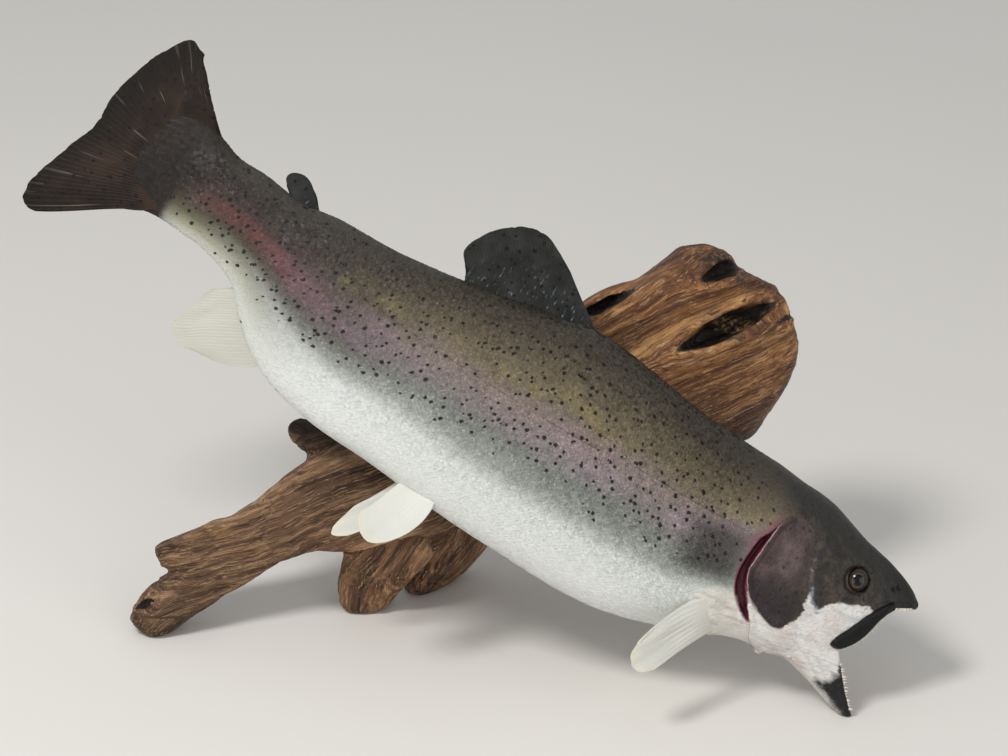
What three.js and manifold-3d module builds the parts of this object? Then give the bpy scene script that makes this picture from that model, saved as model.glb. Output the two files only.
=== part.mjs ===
// A rainbow trout on a piece of driftwood, as a taxidermist mounts it, leaning back on
// its roots and on the tip of its open lower jaw. Millimetres, +Z up, the fish's head
// towards +X and its right side towards -Y.
//
// The mount is laid out upright, in its own frame, and then leans back as one group.
// The fish is laid out straight, and each point of it is carried to the bent spine:
// s runs from the snout to the tail, h stands up from the spine, and w goes to the
// fish's right.
import * as THREE from 'three';
import { mergeVertices } from 'three/addons/utils/BufferGeometryUtils.js';
import Module from 'manifold-3d';

const wasm = await Module();
wasm.setup();

// ---- Driving dimensions -------------------------------------------------------

const LEAN = THREE.MathUtils.degToRad(26);
const STAND_HEIGHT = 166.4;
const CENTRE_X = 27;
const CENTRE_Y = 82;
const GAP = 0.3;

// The spine in the upright mount: x along it, y in depth, z up.
const SPINE = [
  [287, -98, -158], [240, -96, -145], [182, -92, -124], [107, -88, -91], [39, -86, -51],
  [-34, -82, -10], [-107, -74, 36], [-166, -66, 95], [-220, -59, 140], [-250, -56, 156],
];

// The body, from snout to tail: s, height over the spine, depth below it, half width.
const BODY = [
  [0, 2, 2, 3], [5, 8.5, 25, 9], [12, 15, 52, 12.5], [25, 24, 88, 17], [37, 30, 84, 20],
  [48, 35, 76, 22.5], [62, 43, 67.5, 27], [76, 50.5, 61.5, 31], [90, 55, 62.5, 35],
  [105, 58, 60.5, 38], [124, 63, 64, 41.5], [150, 67.5, 71.5, 45], [200, 74.5, 82, 49.5],
  [245, 81, 84, 51], [288, 86, 82.5, 50], [330, 80, 79, 47], [385, 71, 73, 42.5],
  [430, 65, 71, 37], [466, 58.5, 66, 32], [500, 49, 52.5, 26], [527, 37.5, 38.5, 20],
  [560, 35, 34, 15], [580, 33, 35, 11.5], [603, 40, 36, 5],
];
const WIDEST = 0.46;
const ROUNDNESS = 2.2;
const RING_SIDES = 24;

// Where the body is parted, and the spacing of its rings.
const GILL_LINE = 123.5;
const STALK_LINE = 515;
const FLESH_END = 603;
const HEAD_RING = 8;
const TRUNK_RING = 22;
const STALK_RING = 13;

// The open mouth: the gape is an outline in s and h, and the hollow behind it has rings
// of s, palate, floor and half width.
const GAPE = [
  [-30, -3], [4, -3.5], [15, -6], [21, -12], [28, -21], [36, -33], [45, -43], [41.5, -51.5],
  [34, -69.5], [28.4, -80], [24.6, -86.5], [22, -130], [-30, -130],
];
const MOUTH = [
  [13, -7.5, -86, 6], [24, -10, -83.5, 8.5], [31, -11.5, -79.5, 12], [45, -15, -71, 17],
  [60, -19, -62, 20], [75, -23, -55, 20], [86, -27, -51.5, 17], [98, -35, -44, 6],
];
const JAW_PART = [[43.6, -43.2], [70, -50], [99.5, -60.4], [112, -90], [90, -130], [0, -130], [0, -60]];
const TONGUE = { from: 42, to: 84, halfWidth: 9, height: 8, sunk: 2 };
const TOOTH = { radius: 0.8, height: 3.4, inset: 1.7, sunk: 1 };

// The plates of the head, as outlines in s and h.
const GILL_COVER = [
  [95, 33.5], [105, 33.2], [111.6, 27.2], [115.5, 18], [118.5, 5], [121, -5], [121.5, -13],
  [119.5, -21], [113, -29.5], [103, -37], [94, -41.5], [86, -41], [81, -34], [77, -20],
  [76, 0], [78.5, 15], [84, 27],
];
const MAXILLA = [
  [18, -1.5], [26, -7], [35, -16], [43.5, -27], [50.5, -36.5], [51.5, -41.5], [45, -42.5],
  [37, -36], [31, -28], [25.5, -17.5], [20, -9.5],
];
const GILL_SLIT = [
  [112, 26], [116.5, 18], [122.5, 9.5], [126.5, -7], [127.3, -17], [125.4, -27], [121, -35],
  [114.5, -41.5], [107, -46], [113, -34], [119, -23], [120.5, -13], [119.5, -2], [116, 12],
];
const PLATE_THICKNESS = 1.7;
const MAXILLA_THICKNESS = 3;
const SLIT_DEPTH = 4;
const EYE = { s: 47, h: 6.6, w: 16.4, radius: 8.4 };

// Each fin is a fan of rays from its base to its margin, as points of s, h and w.
const TAIL_FIN = {
  base: [[600, 40, 0], [603, 20, 0], [604, 0, 0], [603, -18, 0], [600, -35, 0]],
  margin: [
    [614, 58, 0], [626, 77, 0], [641, 89, 0], [650, 83, 0], [662, 61, 0], [671, 34, 0],
    [675, 12, 0], [680, -5, 0], [688, -22, 0], [699, -52, 0], [701, -67, 0], [686, -71.5, 0],
    [652, -54, 0],
  ],
  root: 8, edge: 1.2, rays: 14, steps: 4,
};
const DORSAL_FIN = {
  base: [[290, 80, 0], [340, 74, 0], [391, 66, 0]],
  margin: [
    [316, 108, 0], [331, 118, 0], [345, 126, 0], [361, 127, 0], [372, 124.5, 0],
    [383, 117.5, 0], [394, 110, 0], [403.5, 98.5, 0], [404, 88, 0],
  ],
  root: 3.4, edge: 1, rays: 10, steps: 3,
};
const ADIPOSE_FIN = {
  base: [[513, 39, 0], [528, 34, 0], [542, 31, 0]],
  margin: [[521, 46.5, 0], [532, 51, 0], [541, 52.5, 0], [547.5, 48, 0], [547, 38.5, 0]],
  root: 5, edge: 2.4, rays: 6, steps: 2,
};
const ANAL_FIN = {
  base: [[465, -58, 0], [492, -46, 0], [516, -34, 0]],
  margin: [
    [474, -75, 0], [490, -83.5, 0], [512, -93, 0], [527, -94, 0], [533, -88, 0],
    [532, -70, 0], [531, -56, 0], [523, -46, 0],
  ],
  root: 3.4, edge: 1, rays: 9, steps: 3,
};
const PELVIC_RIGHT = {
  base: [[331, -70, 16], [342, -72, 13], [354, -72, 9]],
  margin: [
    [329, -81, 22], [332.5, -94, 25], [343, -108, 28], [356, -118, 30], [366, -115, 30],
    [371, -106, 28], [371.5, -100, 26],
  ],
  root: 3.4, edge: 1, rays: 6, steps: 3,
};
const PELVIC_LEFT = {
  base: [[333, -70, -16], [343, -72, -13], [355, -72, -9]],
  margin: [
    [341, -90, -19], [352, -107, -23], [366, -124, -26], [377, -131, -27], [383, -125, -27],
    [381, -108, -25], [370, -93, -21],
  ],
  root: 3.4, edge: 1, rays: 6, steps: 3,
};
const PECTORAL = {
  base: [[136, -36, 36], [133, -48, 33], [129, -60, 28]],
  margin: [
    [150, -50, 44], [157, -66, 49], [166, -84, 54], [169.5, -97, 57], [165, -105, 57],
    [155, -106, 54], [146, -95, 50], [138, -78, 42],
  ],
  root: 4.5, edge: 1, rays: 8, steps: 4,
};
const FAR_FIN_SPLAY = -0.8;

// The driftwood's limbs, in the upright mount: x, y, z of the heartline, the height of
// the wood above and below it, and its half depth.
const LOG = [
  [-251, -2, -128, 7, 8, 7], [-243, -2, -126, 10, 11, 11], [-222, -2, -121, 12, 16, 16],
  [-198, -1, -115, 16, 21, 21], [-170, 0, -106, 21, 26, 25], [-148, 0, -95, 28, 32, 28],
  [-125, 0, -86, 34, 40, 30], [-90, -1, -74, 42, 44, 32], [-53, -2, -58, 48, 48, 33],
  [26, -8, -24, 50, 52, 33], [62, -12, -6, 51, 53, 32], [100, -16, 6, 59, 61, 31],
  [130, -20, 16, 68, 70, 28], [152, -22, 25, 73, 73, 26], [166, -22, 29, 69, 65, 25],
  [178, -22, 32.5, 61, 54, 23], [182, -22, 34, 44, 51, 21], [193, -22, 37, 38, 42, 17],
  [202, -22, 39.6, 29, 29, 12], [207, -22, 41, 14, 15, 6],
];
const LEFT_FOOT = [
  [-172, 0, -118, 18, 18, 16], [-203, 0, -136, 18, 19, 18], [-230, 0, -155, 17, 18, 18],
  [-246, 0, -167, 18, 18, 18], [-257, 0, -178, 15, 15, 15], [-261, 0, -184, 8, 8, 8],
];
const MIDDLE_FOOT = [
  [-60, 2, -80, 34, 34, 22], [-80, 14, -110, 36, 34, 22], [-96, 25, -136, 28, 25, 20],
  [-103, 34, -156, 21, 19, 18], [-104, 42, -178, 15, 15, 15],
];
const BACK_ROOT = [
  [-2, 6, -56, 38, 38, 24], [-22, 30, -94, 38, 38, 22], [-42, 53, -127, 36, 34, 18],
  [-55, 69, -150, 29, 26, 13], [-60, 76, -163, 20, 18, 11],
];
const BACK_ROOT_SPREAD = new THREE.Vector3(-43, -54, -26);
const BROKEN_STUB = [
  [-154, 4, -33, 6, 6, 7], [-147, 3, -37, 10, 11, 11], [-133, 2, -46, 12, 14, 13],
  [-112, 0, -60, 15, 16, 16],
];
const WOOD_SIDES = 20;
const WOOD_ROUNDNESS = 2.5;
const GRAIN_RIDGES = 5;
const GRAIN_HEIGHT = 0.035;

// The hollows in the wood: middle, half length along the grain, half height, half depth.
const GRAIN_ANGLE = THREE.MathUtils.degToRad(26);
const HOLLOWS = [
  { at: [160, -48, 38], half: [40, 8, 24] },
  { at: [69, -44, 53], half: [24, 4.5, 22] },
  { at: [163, -44, 80.5], half: [26, 6.5, 20] },
];

// ---- Helpers ------------------------------------------------------------------

// A value of a table at a place in its first column, on a smooth curve through its rows.
function read(table, at, column) {
  const last = table.length - 1;
  let row = 0;
  while (row < last - 1 && at > table[row + 1][0]) row += 1;
  const slope = (k) => {
    const before = table[Math.max(k - 1, 0)];
    const after = table[Math.min(k + 1, last)];
    return (after[column] - before[column]) / (after[0] - before[0]);
  };
  const low = table[row];
  const high = table[row + 1];
  const span = high[0] - low[0];
  const t = THREE.MathUtils.clamp((at - low[0]) / span, 0, 1);
  const blend = t * t * (3 - 2 * t);
  const bulge = t * (1 - t) * span;
  const value = low[column] * (1 - blend) + high[column] * blend;
  return value + bulge * ((1 - t) * slope(row) - t * slope(row + 1));
}

const spine = new THREE.CatmullRomCurve3(
  SPINE.map((point) => new THREE.Vector3(...point)), false, 'catmullrom', 0.5);
spine.arcLengthDivisions = 600;
const SPINE_LENGTH = spine.getLength();

// Carries a point of the straight fish to its place on the bent spine.
function bend(s, h, w) {
  const u = THREE.MathUtils.clamp(s / SPINE_LENGTH, 0, 1);
  const tangent = spine.getTangentAt(u);
  const point = spine.getPointAt(u).addScaledVector(tangent, s - u * SPINE_LENGTH);
  const up = new THREE.Vector3(tangent.z, 0, -tangent.x).normalize();
  return point.addScaledVector(up, h).add(new THREE.Vector3(0, -w, 0));
}

// A closed geometry of points and faces, turned to face outwards.
function closed(points, faces) {
  let volume = 0;
  for (const [a, b, c] of faces) {
    volume += points[a].dot(new THREE.Vector3().crossVectors(points[b], points[c]));
  }
  const index = faces.flatMap(([a, b, c]) => (volume > 0 ? [a, b, c] : [a, c, b]));
  const geometry = new THREE.BufferGeometry();
  const flat = points.flatMap((point) => [point.x, point.y, point.z]);
  geometry.setAttribute('position', new THREE.Float32BufferAttribute(flat, 3));
  geometry.setIndex(index);
  return geometry;
}

// Skins a row of rings and closes both ends on their middles.
function loft(rings) {
  const sides = rings[0].length;
  const points = rings.flat();
  const faces = [];
  for (let r = 0; r < rings.length - 1; r += 1) {
    for (let k = 0; k < sides; k += 1) {
      const a = r * sides + k;
      const b = r * sides + ((k + 1) % sides);
      faces.push([a, b, b + sides], [a, b + sides, a + sides]);
    }
  }
  for (const [ring, start, turn] of [[rings[0], 0, 0], [rings.at(-1), points.length - sides, 1]]) {
    const middle = new THREE.Vector3();
    ring.forEach((point) => middle.addScaledVector(point, 1 / sides));
    const centre = points.push(middle) - 1;
    for (let k = 0; k < sides; k += 1) {
      const pair = [start + k, start + ((k + 1) % sides)];
      faces.push(turn ? [pair[0], pair[1], centre] : [pair[1], pair[0], centre]);
    }
  }
  return closed(points, faces);
}

// A rounded ring's offsets: across it, and up or down from its middle.
function oval(angle, halfWidth, up, down, roundness) {
  const power = (value) => Math.sign(value) * Math.abs(value) ** (2 / roundness);
  const rise = power(Math.sin(angle));
  return [halfWidth * power(Math.cos(angle)), rise * (rise > 0 ? up : down)];
}

// Turns a geometry into a solid for joining and cutting, and back.
function solid(geometry) {
  const bare = geometry.clone();
  bare.deleteAttribute('normal');
  bare.deleteAttribute('uv');
  const merged = mergeVertices(bare, 1e-4);
  return new wasm.Manifold(new wasm.Mesh({
    numProp: 3,
    vertProperties: new Float32Array(merged.attributes.position.array),
    triVerts: new Uint32Array(merged.index.array),
  }));
}

function unsolid(manifold) {
  const { vertProperties, triVerts, numProp } = manifold.getMesh();
  const geometry = new THREE.BufferGeometry();
  const positions = new Float32Array(vertProperties.length / numProp * 3);
  for (let v = 0; v < positions.length / 3; v += 1) {
    positions.set(vertProperties.subarray(v * numProp, v * numProp + 3), v * 3);
  }
  geometry.setAttribute('position', new THREE.BufferAttribute(positions, 3));
  geometry.setIndex(new THREE.BufferAttribute(new Uint32Array(triVerts), 1));
  geometry.computeVertexNormals();
  return geometry;
}

function places(from, to, spacing) {
  const steps = Math.max(1, Math.round((to - from) / spacing));
  return Array.from({ length: steps + 1 }, (_, k) => from + ((to - from) * k) / steps);
}

// A length of the body, grown by an even skin, as one solid.
function bodyLength(stations, grow = 0) {
  const rings = stations.map((s) => {
    const [up, down, halfWidth] = [1, 2, 3].map((column) => read(BODY, s, column) + grow);
    const level = up - WIDEST * (up + down);
    return Array.from({ length: RING_SIDES }, (_, k) => {
      const angle = (2 * Math.PI * (k + 0.5)) / RING_SIDES;
      const [w, h] = oval(angle, halfWidth, up - level, down + level, ROUNDNESS);
      return bend(s, level + h, w);
    });
  });
  if (stations[0] === 0) rings[0].forEach((point) => point.add(new THREE.Vector3(grow, 0, -grow)));
  return solid(loft(rings));
}

// The body's half width at a place on its side.
function sideAt(s, h) {
  const [up, down, halfWidth] = [1, 2, 3].map((column) => read(BODY, s, column));
  const level = up - WIDEST * (up + down);
  const reach = h > level ? up - level : down + level;
  const share = Math.min(Math.abs(h - level) / reach, 1);
  return halfWidth * (1 - share ** ROUNDNESS) ** (1 / ROUNDNESS);
}

// An outline in s and h, carried sideways through the fish as a solid.
function prism(outline, fromW, toW, smooth, shiftH = 0) {
  const corners = outline.map(([s, h]) => new THREE.Vector2(s, h + shiftH));
  const shape = new THREE.Shape();
  if (smooth) {
    shape.moveTo(corners[0].x, corners[0].y);
    shape.splineThru([...corners.slice(1), corners[0]]);
  } else {
    shape.setFromPoints(corners);
  }
  const geometry = new THREE.ExtrudeGeometry(
    shape, { depth: toW - fromW, bevelEnabled: false, curveSegments: 1 });
  const position = geometry.attributes.position;
  const points = [];
  for (let v = 0; v < position.count; v += 1) {
    points.push(bend(position.getX(v), position.getY(v), position.getZ(v) + fromW));
  }
  const faces = Array.from({ length: position.count / 3 }, (_, f) => [3 * f, 3 * f + 1, 3 * f + 2]);
  return solid(closed(points, faces));
}

// ---- The fish -----------------------------------------------------------------

const FAR = 80;
const HEAD_STATIONS = places(0, GILL_LINE, HEAD_RING);
const TRUNK_STATIONS = places(GILL_LINE + GAP, STALK_LINE, TRUNK_RING);
const STALK_STATIONS = places(STALK_LINE + GAP, FLESH_END, STALK_RING);
const ALL_STATIONS = [...HEAD_STATIONS, ...TRUNK_STATIONS, ...STALK_STATIONS];
const SHOULDER_STATIONS = TRUNK_STATIONS.slice(0, 3);
const wholeSkin = bodyLength(ALL_STATIONS, GAP);

function mouthHollow(shrink) {
  const rings = MOUTH.map(([s, palate, floor, halfWidth]) => {
    const level = (palate + floor) / 2;
    const reach = (palate - floor) / 2 - shrink;
    return Array.from({ length: 16 }, (_, k) => {
      const [w, h] = oval((2 * Math.PI * (k + 0.5)) / 16, halfWidth - shrink, reach, reach, ROUNDNESS);
      return bend(s, level + h, w);
    });
  });
  return solid(loft(rings));
}

function gillSlits(piece) {
  const core = bodyLength([...HEAD_STATIONS.slice(-6), ...SHOULDER_STATIONS], -SLIT_DEPTH);
  const slit = prism(GILL_SLIT, -FAR, FAR, true).subtract(core);
  return piece.subtract(slit);
}

// A small tooth that stands on a jaw and points along a direction.
function tooth(s, h, w, towards) {
  const foot = bend(s, h, w);
  const tip = bend(s + towards[0], h + towards[1], w);
  const direction = tip.sub(foot).normalize();
  const cone = new THREE.ConeGeometry(TOOTH.radius, TOOTH.height, 5);
  cone.applyQuaternion(new THREE.Quaternion().setFromUnitVectors(new THREE.Vector3(0, 1, 0), direction));
  const middle = foot.addScaledVector(direction, TOOTH.height / 2 - TOOTH.sunk);
  cone.translate(middle.x, middle.y, middle.z);
  return solid(cone);
}

// Rows of teeth on both sides of a straight edge, from one place to another.
function teeth(piece, from, to, count, towards) {
  let toothed = piece;
  for (let k = 0; k < count; k += 1) {
    const t = (k + 0.5) / count;
    const s = from[0] + (to[0] - from[0]) * t;
    const h = from[1] + (to[1] - from[1]) * t;
    const w = Math.max(sideAt(s, h) - TOOTH.inset, 1.2);
    for (const side of [1, -1]) toothed = toothed.add(tooth(s, h, side * w, towards));
  }
  return toothed;
}

function eyeBall(side, grow) {
  const ball = new THREE.SphereGeometry(EYE.radius + grow, 14, 8);
  const centre = bend(EYE.s, EYE.h, side * EYE.w);
  return { geometry: ball, centre };
}

const wholeHead = bodyLength(HEAD_STATIONS);
const gape = prism(GAPE, -FAR, FAR, false);
const openHead = wholeHead.subtract(gape).subtract(mouthHollow(0));

function head() {
  let piece = openHead.subtract(prism(JAW_PART, -FAR, FAR, false));
  for (const side of [1, -1]) {
    const { geometry, centre } = eyeBall(side, GAP);
    piece = piece.subtract(solid(geometry.translate(centre.x, centre.y, centre.z)));
  }
  return teeth(gillSlits(piece), [5, -3.6], [14, -5.8], 4, [1, -6]);
}

function lowerJaw() {
  const piece = openHead.intersect(prism(JAW_PART, -FAR, FAR, false, -GAP));
  return teeth(piece, [41.3, -54], [28.8, -81.5], 8, [-6, 2.5]);
}

function tongue() {
  const rings = places(TONGUE.from, TONGUE.to, HEAD_RING).map((s) => {
    const t = (s - TONGUE.from) / (TONGUE.to - TONGUE.from);
    const size = 0.35 + 0.65 * Math.sin(Math.PI * (0.15 + 0.7 * t));
    const level = read(MOUTH, s, 2) + TONGUE.height / 2 - TONGUE.sunk;
    return Array.from({ length: 12 }, (_, k) => {
      const angle = (2 * Math.PI * (k + 0.5)) / 12;
      return bend(s, level + (TONGUE.height / 2) * Math.sin(angle), TONGUE.halfWidth * size * Math.cos(angle));
    });
  });
  return solid(loft(rings)).intersect(mouthHollow(GAP));
}

// A plate that lies on the side of the head, GAP over the skin.
function plate(outline, side, thickness) {
  const stations = [...HEAD_STATIONS, ...SHOULDER_STATIONS];
  const inner = bodyLength(stations, GAP);
  const outer = bodyLength(stations, GAP + thickness);
  const reach = side > 0 ? [4, FAR] : [-FAR, -4];
  return prism(outline, ...reach, true).intersect(outer).subtract(inner);
}

// A fin as a thin fan, cut off where it meets the skin.
function fin({ base, margin, root, edge, rays, steps }, side = 1) {
  const line = (list) => new THREE.CatmullRomCurve3(
    list.map(([s, h, w]) => new THREE.Vector3(s, h, w * side)), false, 'catmullrom', 0.5);
  const foot = line(base);
  const rim = line(margin);
  const layers = [[], []];
  for (let r = 0; r <= rays; r += 1) {
    const from = foot.getPointAt(r / rays);
    const to = rim.getPointAt(r / rays);
    const spread = foot.getPointAt(1).sub(foot.getPointAt(0)).lerp(rim.getPointAt(1).sub(rim.getPointAt(0)), 0.5);
    const across = new THREE.Vector3().crossVectors(spread, to.clone().sub(from)).normalize();
    for (let k = 0; k <= steps; k += 1) {
      const t = k / steps;
      const half = (edge + (root - edge) * (1 - t) ** 2) / 2;
      const middle = from.clone().lerp(to, t);
      [1, -1].forEach((face, layer) => {
        const point = middle.clone().addScaledVector(across, face * half);
        layers[layer].push(bend(point.x, point.y, point.z));
      });
    }
  }
  const row = steps + 1;
  const count = layers[0].length;
  const faces = [];
  const quad = (a, b, c, d) => faces.push([a, b, c], [a, c, d]);
  for (let r = 0; r < rays; r += 1) {
    for (let k = 0; k < steps; k += 1) {
      const a = r * row + k;
      quad(a, a + 1, a + row + 1, a + row);
      quad(a + count, a + row + count, a + row + 1 + count, a + 1 + count);
    }
    const [start, end] = [r * row, r * row + steps];
    quad(start, start + row, start + row + count, start + count);
    quad(end, end + count, end + row + count, end + row);
  }
  for (let k = 0; k < steps; k += 1) {
    const last = rays * row + k;
    quad(k, k + count, k + 1 + count, k + 1);
    quad(last, last + 1, last + 1 + count, last + count);
  }
  return solid(closed(layers.flat(), faces));
}

// ---- The driftwood ------------------------------------------------------------

// One limb of the wood: rings square to its heartline, ridged along the grain. Their
// height stands square to the heartline in the mount's own plane, or follows a spread.
function limb(table, phase, spread) {
  const line = new THREE.CatmullRomCurve3(
    table.map(([x, y, z]) => new THREE.Vector3(x, y, z)), false, 'catmullrom', 0.5);
  const sections = table.length - 1;
  const rings = places(0, sections, table === LOG ? 1 : 0.7).map((at) => {
    const t = at / sections;
    const row = Math.min(Math.floor(at), sections - 1);
    const share = at - row;
    const size = (column) => THREE.MathUtils.lerp(table[row][column], table[row + 1][column], share);
    const tangent = line.getTangent(t);
    const broad = spread ?? new THREE.Vector3(-tangent.z, 0, tangent.x);
    const up = broad.clone().addScaledVector(tangent, -broad.dot(tangent)).normalize();
    const across = new THREE.Vector3().crossVectors(tangent, up);
    return Array.from({ length: WOOD_SIDES }, (_, k) => {
      const angle = (2 * Math.PI * k) / WOOD_SIDES;
      const ridge = 1 + GRAIN_HEIGHT * Math.sin(GRAIN_RIDGES * angle + phase + 0.35 * at);
      const [w, h] = oval(angle, size(5) * ridge, size(3) * ridge, size(4) * ridge, WOOD_ROUNDNESS);
      return line.getPoint(t).addScaledVector(up, h).addScaledVector(across, w);
    });
  });
  return solid(loft(rings));
}

// The floor, as the leaning mount sees it: all that reaches into it is cut level.
function floor() {
  const slab = new THREE.BoxGeometry(1200, 1200, 200);
  slab.translate(0, 0, -100 - STAND_HEIGHT);
  slab.rotateX(LEAN);
  return solid(slab);
}

function driftwood() {
  let wood = limb(LOG, 0.4);
  wood = wood.add(limb(LEFT_FOOT, 1.1));
  wood = wood.add(limb(MIDDLE_FOOT, 2.3));
  wood = wood.add(limb(BACK_ROOT, 3.1, BACK_ROOT_SPREAD));
  wood = wood.add(limb(BROKEN_STUB, 1.7));
  for (const { at, half } of HOLLOWS) {
    const hollow = new THREE.SphereGeometry(1, 16, 10);
    hollow.scale(half[0], half[2], half[1]);
    hollow.rotateY(-GRAIN_ANGLE);
    hollow.translate(...at);
    wood = wood.subtract(solid(hollow));
  }
  return wood.subtract(wholeSkin).subtract(floor());
}

// ---- The finishes and the scene graph -----------------------------------------

const finish = (color, roughness, metalness = 0) => new THREE.MeshStandardMaterial({ color, roughness, metalness });
const DARK_SKIN = finish('#4a4a42', 0.4);
const FLANK_SKIN = finish('#7f827c', 0.4);
const PALE_SKIN = finish('#d9d5c9', 0.45);
const DARK_FIN = finish('#2c2925', 0.5);
const PALE_FIN = finish('#ded6c4', 0.5);
const BLACK_LIP = finish('#191917', 0.4);
const GLASS_EYE = finish('#2a2119', 0.08);
const TONGUE_SKIN = finish('#c9a49a', 0.4);
const WEATHERED_WOOD = finish('#74573d', 0.7);

const trout = new THREE.Group();
const mount = new THREE.Group();
mount.rotation.x = -LEAN;
mount.position.set(CENTRE_X, CENTRE_Y, STAND_HEIGHT);
trout.add(mount);

function add(name, geometry, material) {
  const mesh = new THREE.Mesh(geometry, material.clone());
  mesh.name = name;
  mount.add(mesh);
  return mesh;
}

add('driftwood', unsolid(driftwood()), WEATHERED_WOOD);
add('head', unsolid(head()), DARK_SKIN);
add('lower_jaw', unsolid(lowerJaw().subtract(floor())), PALE_SKIN);
add('tongue', unsolid(tongue()), TONGUE_SKIN);
add('trunk', unsolid(gillSlits(bodyLength(TRUNK_STATIONS))), FLANK_SKIN);
add('tail_stalk', unsolid(bodyLength(STALK_STATIONS)), FLANK_SKIN);

for (const [name, side] of [['right', 1], ['left', -1]]) {
  add(`gill_cover_${name}`, unsolid(plate(GILL_COVER, side, PLATE_THICKNESS)), DARK_SKIN);
  add(`maxilla_${name}`, unsolid(plate(MAXILLA, side, MAXILLA_THICKNESS)), BLACK_LIP);
  const { geometry, centre } = eyeBall(side, 0);
  add(`eye_${name}`, geometry, GLASS_EYE).position.copy(centre);
  const splay = side > 0 ? 1 : FAR_FIN_SPLAY;
  add(`pectoral_fin_${name}`, unsolid(fin(PECTORAL, splay).subtract(wholeSkin)), PALE_FIN);
}

for (const [name, shape, material] of [
  ['tail_fin', TAIL_FIN, DARK_FIN],
  ['dorsal_fin', DORSAL_FIN, DARK_FIN],
  ['adipose_fin', ADIPOSE_FIN, DARK_FIN],
  ['anal_fin', ANAL_FIN, PALE_FIN],
  ['pelvic_fin_right', PELVIC_RIGHT, PALE_FIN],
  ['pelvic_fin_left', PELVIC_LEFT, PALE_FIN],
]) {
  add(name, unsolid(fin(shape).subtract(wholeSkin)), material);
}

export default trout;
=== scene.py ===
import math

import bpy
import numpy as np
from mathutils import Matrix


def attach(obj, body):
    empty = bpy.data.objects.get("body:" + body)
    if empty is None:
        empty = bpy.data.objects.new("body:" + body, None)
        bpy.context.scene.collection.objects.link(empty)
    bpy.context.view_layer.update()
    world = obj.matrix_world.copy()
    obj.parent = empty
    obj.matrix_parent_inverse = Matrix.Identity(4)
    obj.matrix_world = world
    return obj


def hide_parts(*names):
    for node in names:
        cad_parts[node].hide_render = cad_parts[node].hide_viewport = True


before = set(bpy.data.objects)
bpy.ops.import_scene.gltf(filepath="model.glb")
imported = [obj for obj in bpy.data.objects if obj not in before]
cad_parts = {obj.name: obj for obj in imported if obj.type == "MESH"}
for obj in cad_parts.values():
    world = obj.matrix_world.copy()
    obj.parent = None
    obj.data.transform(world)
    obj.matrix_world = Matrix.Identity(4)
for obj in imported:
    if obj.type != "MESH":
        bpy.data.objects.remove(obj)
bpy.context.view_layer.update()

# A mounted rainbow trout on driftwood. The fish is worked straight, in millimetres: s from
# the snout to the tail, w out to its right side, h up from the spine. Each finished piece is
# then bent along the spine and leaned back with the mount, in metres.

# ---- Measures of the mount ----------------------------------------------------------------

MM = 0.001
LEAN = math.radians(26)
STAND_HEIGHT = 166.4
CENTRE_X, CENTRE_Y = 27, 82

SPINE = [
    [287, -98, -158], [240, -96, -145], [182, -92, -124], [107, -88, -91], [39, -86, -51],
    [-34, -82, -10], [-107, -74, 36], [-166, -66, 95], [-220, -59, 140], [-250, -56, 156],
]

# The body: s, height over the spine, depth below it, half width.
BODY = np.array([
    [0, 2, 2, 3], [5, 8.5, 25, 9], [12, 15, 52, 12.5], [25, 24, 88, 17], [37, 30, 84, 20],
    [48, 35, 76, 22.5], [62, 43, 67.5, 27], [76, 50.5, 61.5, 31], [90, 55, 62.5, 35],
    [105, 58, 60.5, 38], [124, 63, 64, 41.5], [150, 67.5, 71.5, 45], [200, 74.5, 82, 49.5],
    [245, 81, 84, 51], [288, 86, 82.5, 50], [330, 80, 79, 47], [385, 71, 73, 42.5],
    [430, 65, 71, 37], [466, 58.5, 66, 32], [500, 49, 52.5, 26], [527, 37.5, 38.5, 20],
    [560, 35, 34, 15], [580, 33, 35, 11.5], [603, 39, 36, 5.6],
    [612, 42, 36.2, 4.0], [622, 41, 36.2, 2.9], [632, 37, 35.5, 2.1], [640, 30, 30, 1.5],
    [645, 13, 18, 0.9],
])
WIDEST = 0.46  # the body's widest level, as a share of its height from the back
ROUNDNESS = 2.2  # 2 is an ellipse, and more is squarer
FLESH_END = 645

GAPE = [
    [-30, -3], [4, -3.5], [15, -6], [21, -12], [28, -21], [36, -33], [45, -43], [41.5, -51.5],
    [34, -69.5], [28.4, -80], [24.6, -86.5], [22, -130], [-30, -130],
]
MOUTH = np.array([
    [13, -7.5, -86, 6], [24, -10, -83.5, 8.5], [31, -11.5, -79.5, 12], [45, -15, -71, 17],
    [60, -19, -62, 20], [75, -23, -55, 20], [86, -27, -51.5, 17], [98, -35, -44, 6],
])
GILL_COVER = [
    [95, 33.5], [105, 33.2], [111.6, 27.2], [115.5, 18], [118.5, 5], [121, -5], [121.5, -13],
    [119.5, -21], [113, -29.5], [103, -37], [94, -41.5], [86, -41], [81, -34], [77, -20],
    [76, 0], [78.5, 15], [84, 27],
]
MAXILLA = [
    [18, -1.5], [26, -7], [35, -16], [43.5, -27], [50.5, -36.5], [51.5, -41.5], [45, -42.5],
    [37, -36], [31, -28], [25.5, -17.5], [20, -9.5],
]
GILL_SLIT = [
    [112, 26], [116.5, 18], [122.5, 9.5], [126.5, -7], [127.3, -17], [125.4, -27], [121, -35],
    [114.5, -41.5], [107, -46], [113, -34], [119, -23], [120.5, -13], [119.5, -2], [116, 12],
]
MEMBRANE = [
    [113, -33], [109, -41], [106, -46], [103, -54], [98.3, -61], [92, -65], [87, -61],
    [80, -60.5], [72, -60], [69, -52], [69.5, -42], [73, -33], [79, -31], [90, -36], [103, -33],
]
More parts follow.
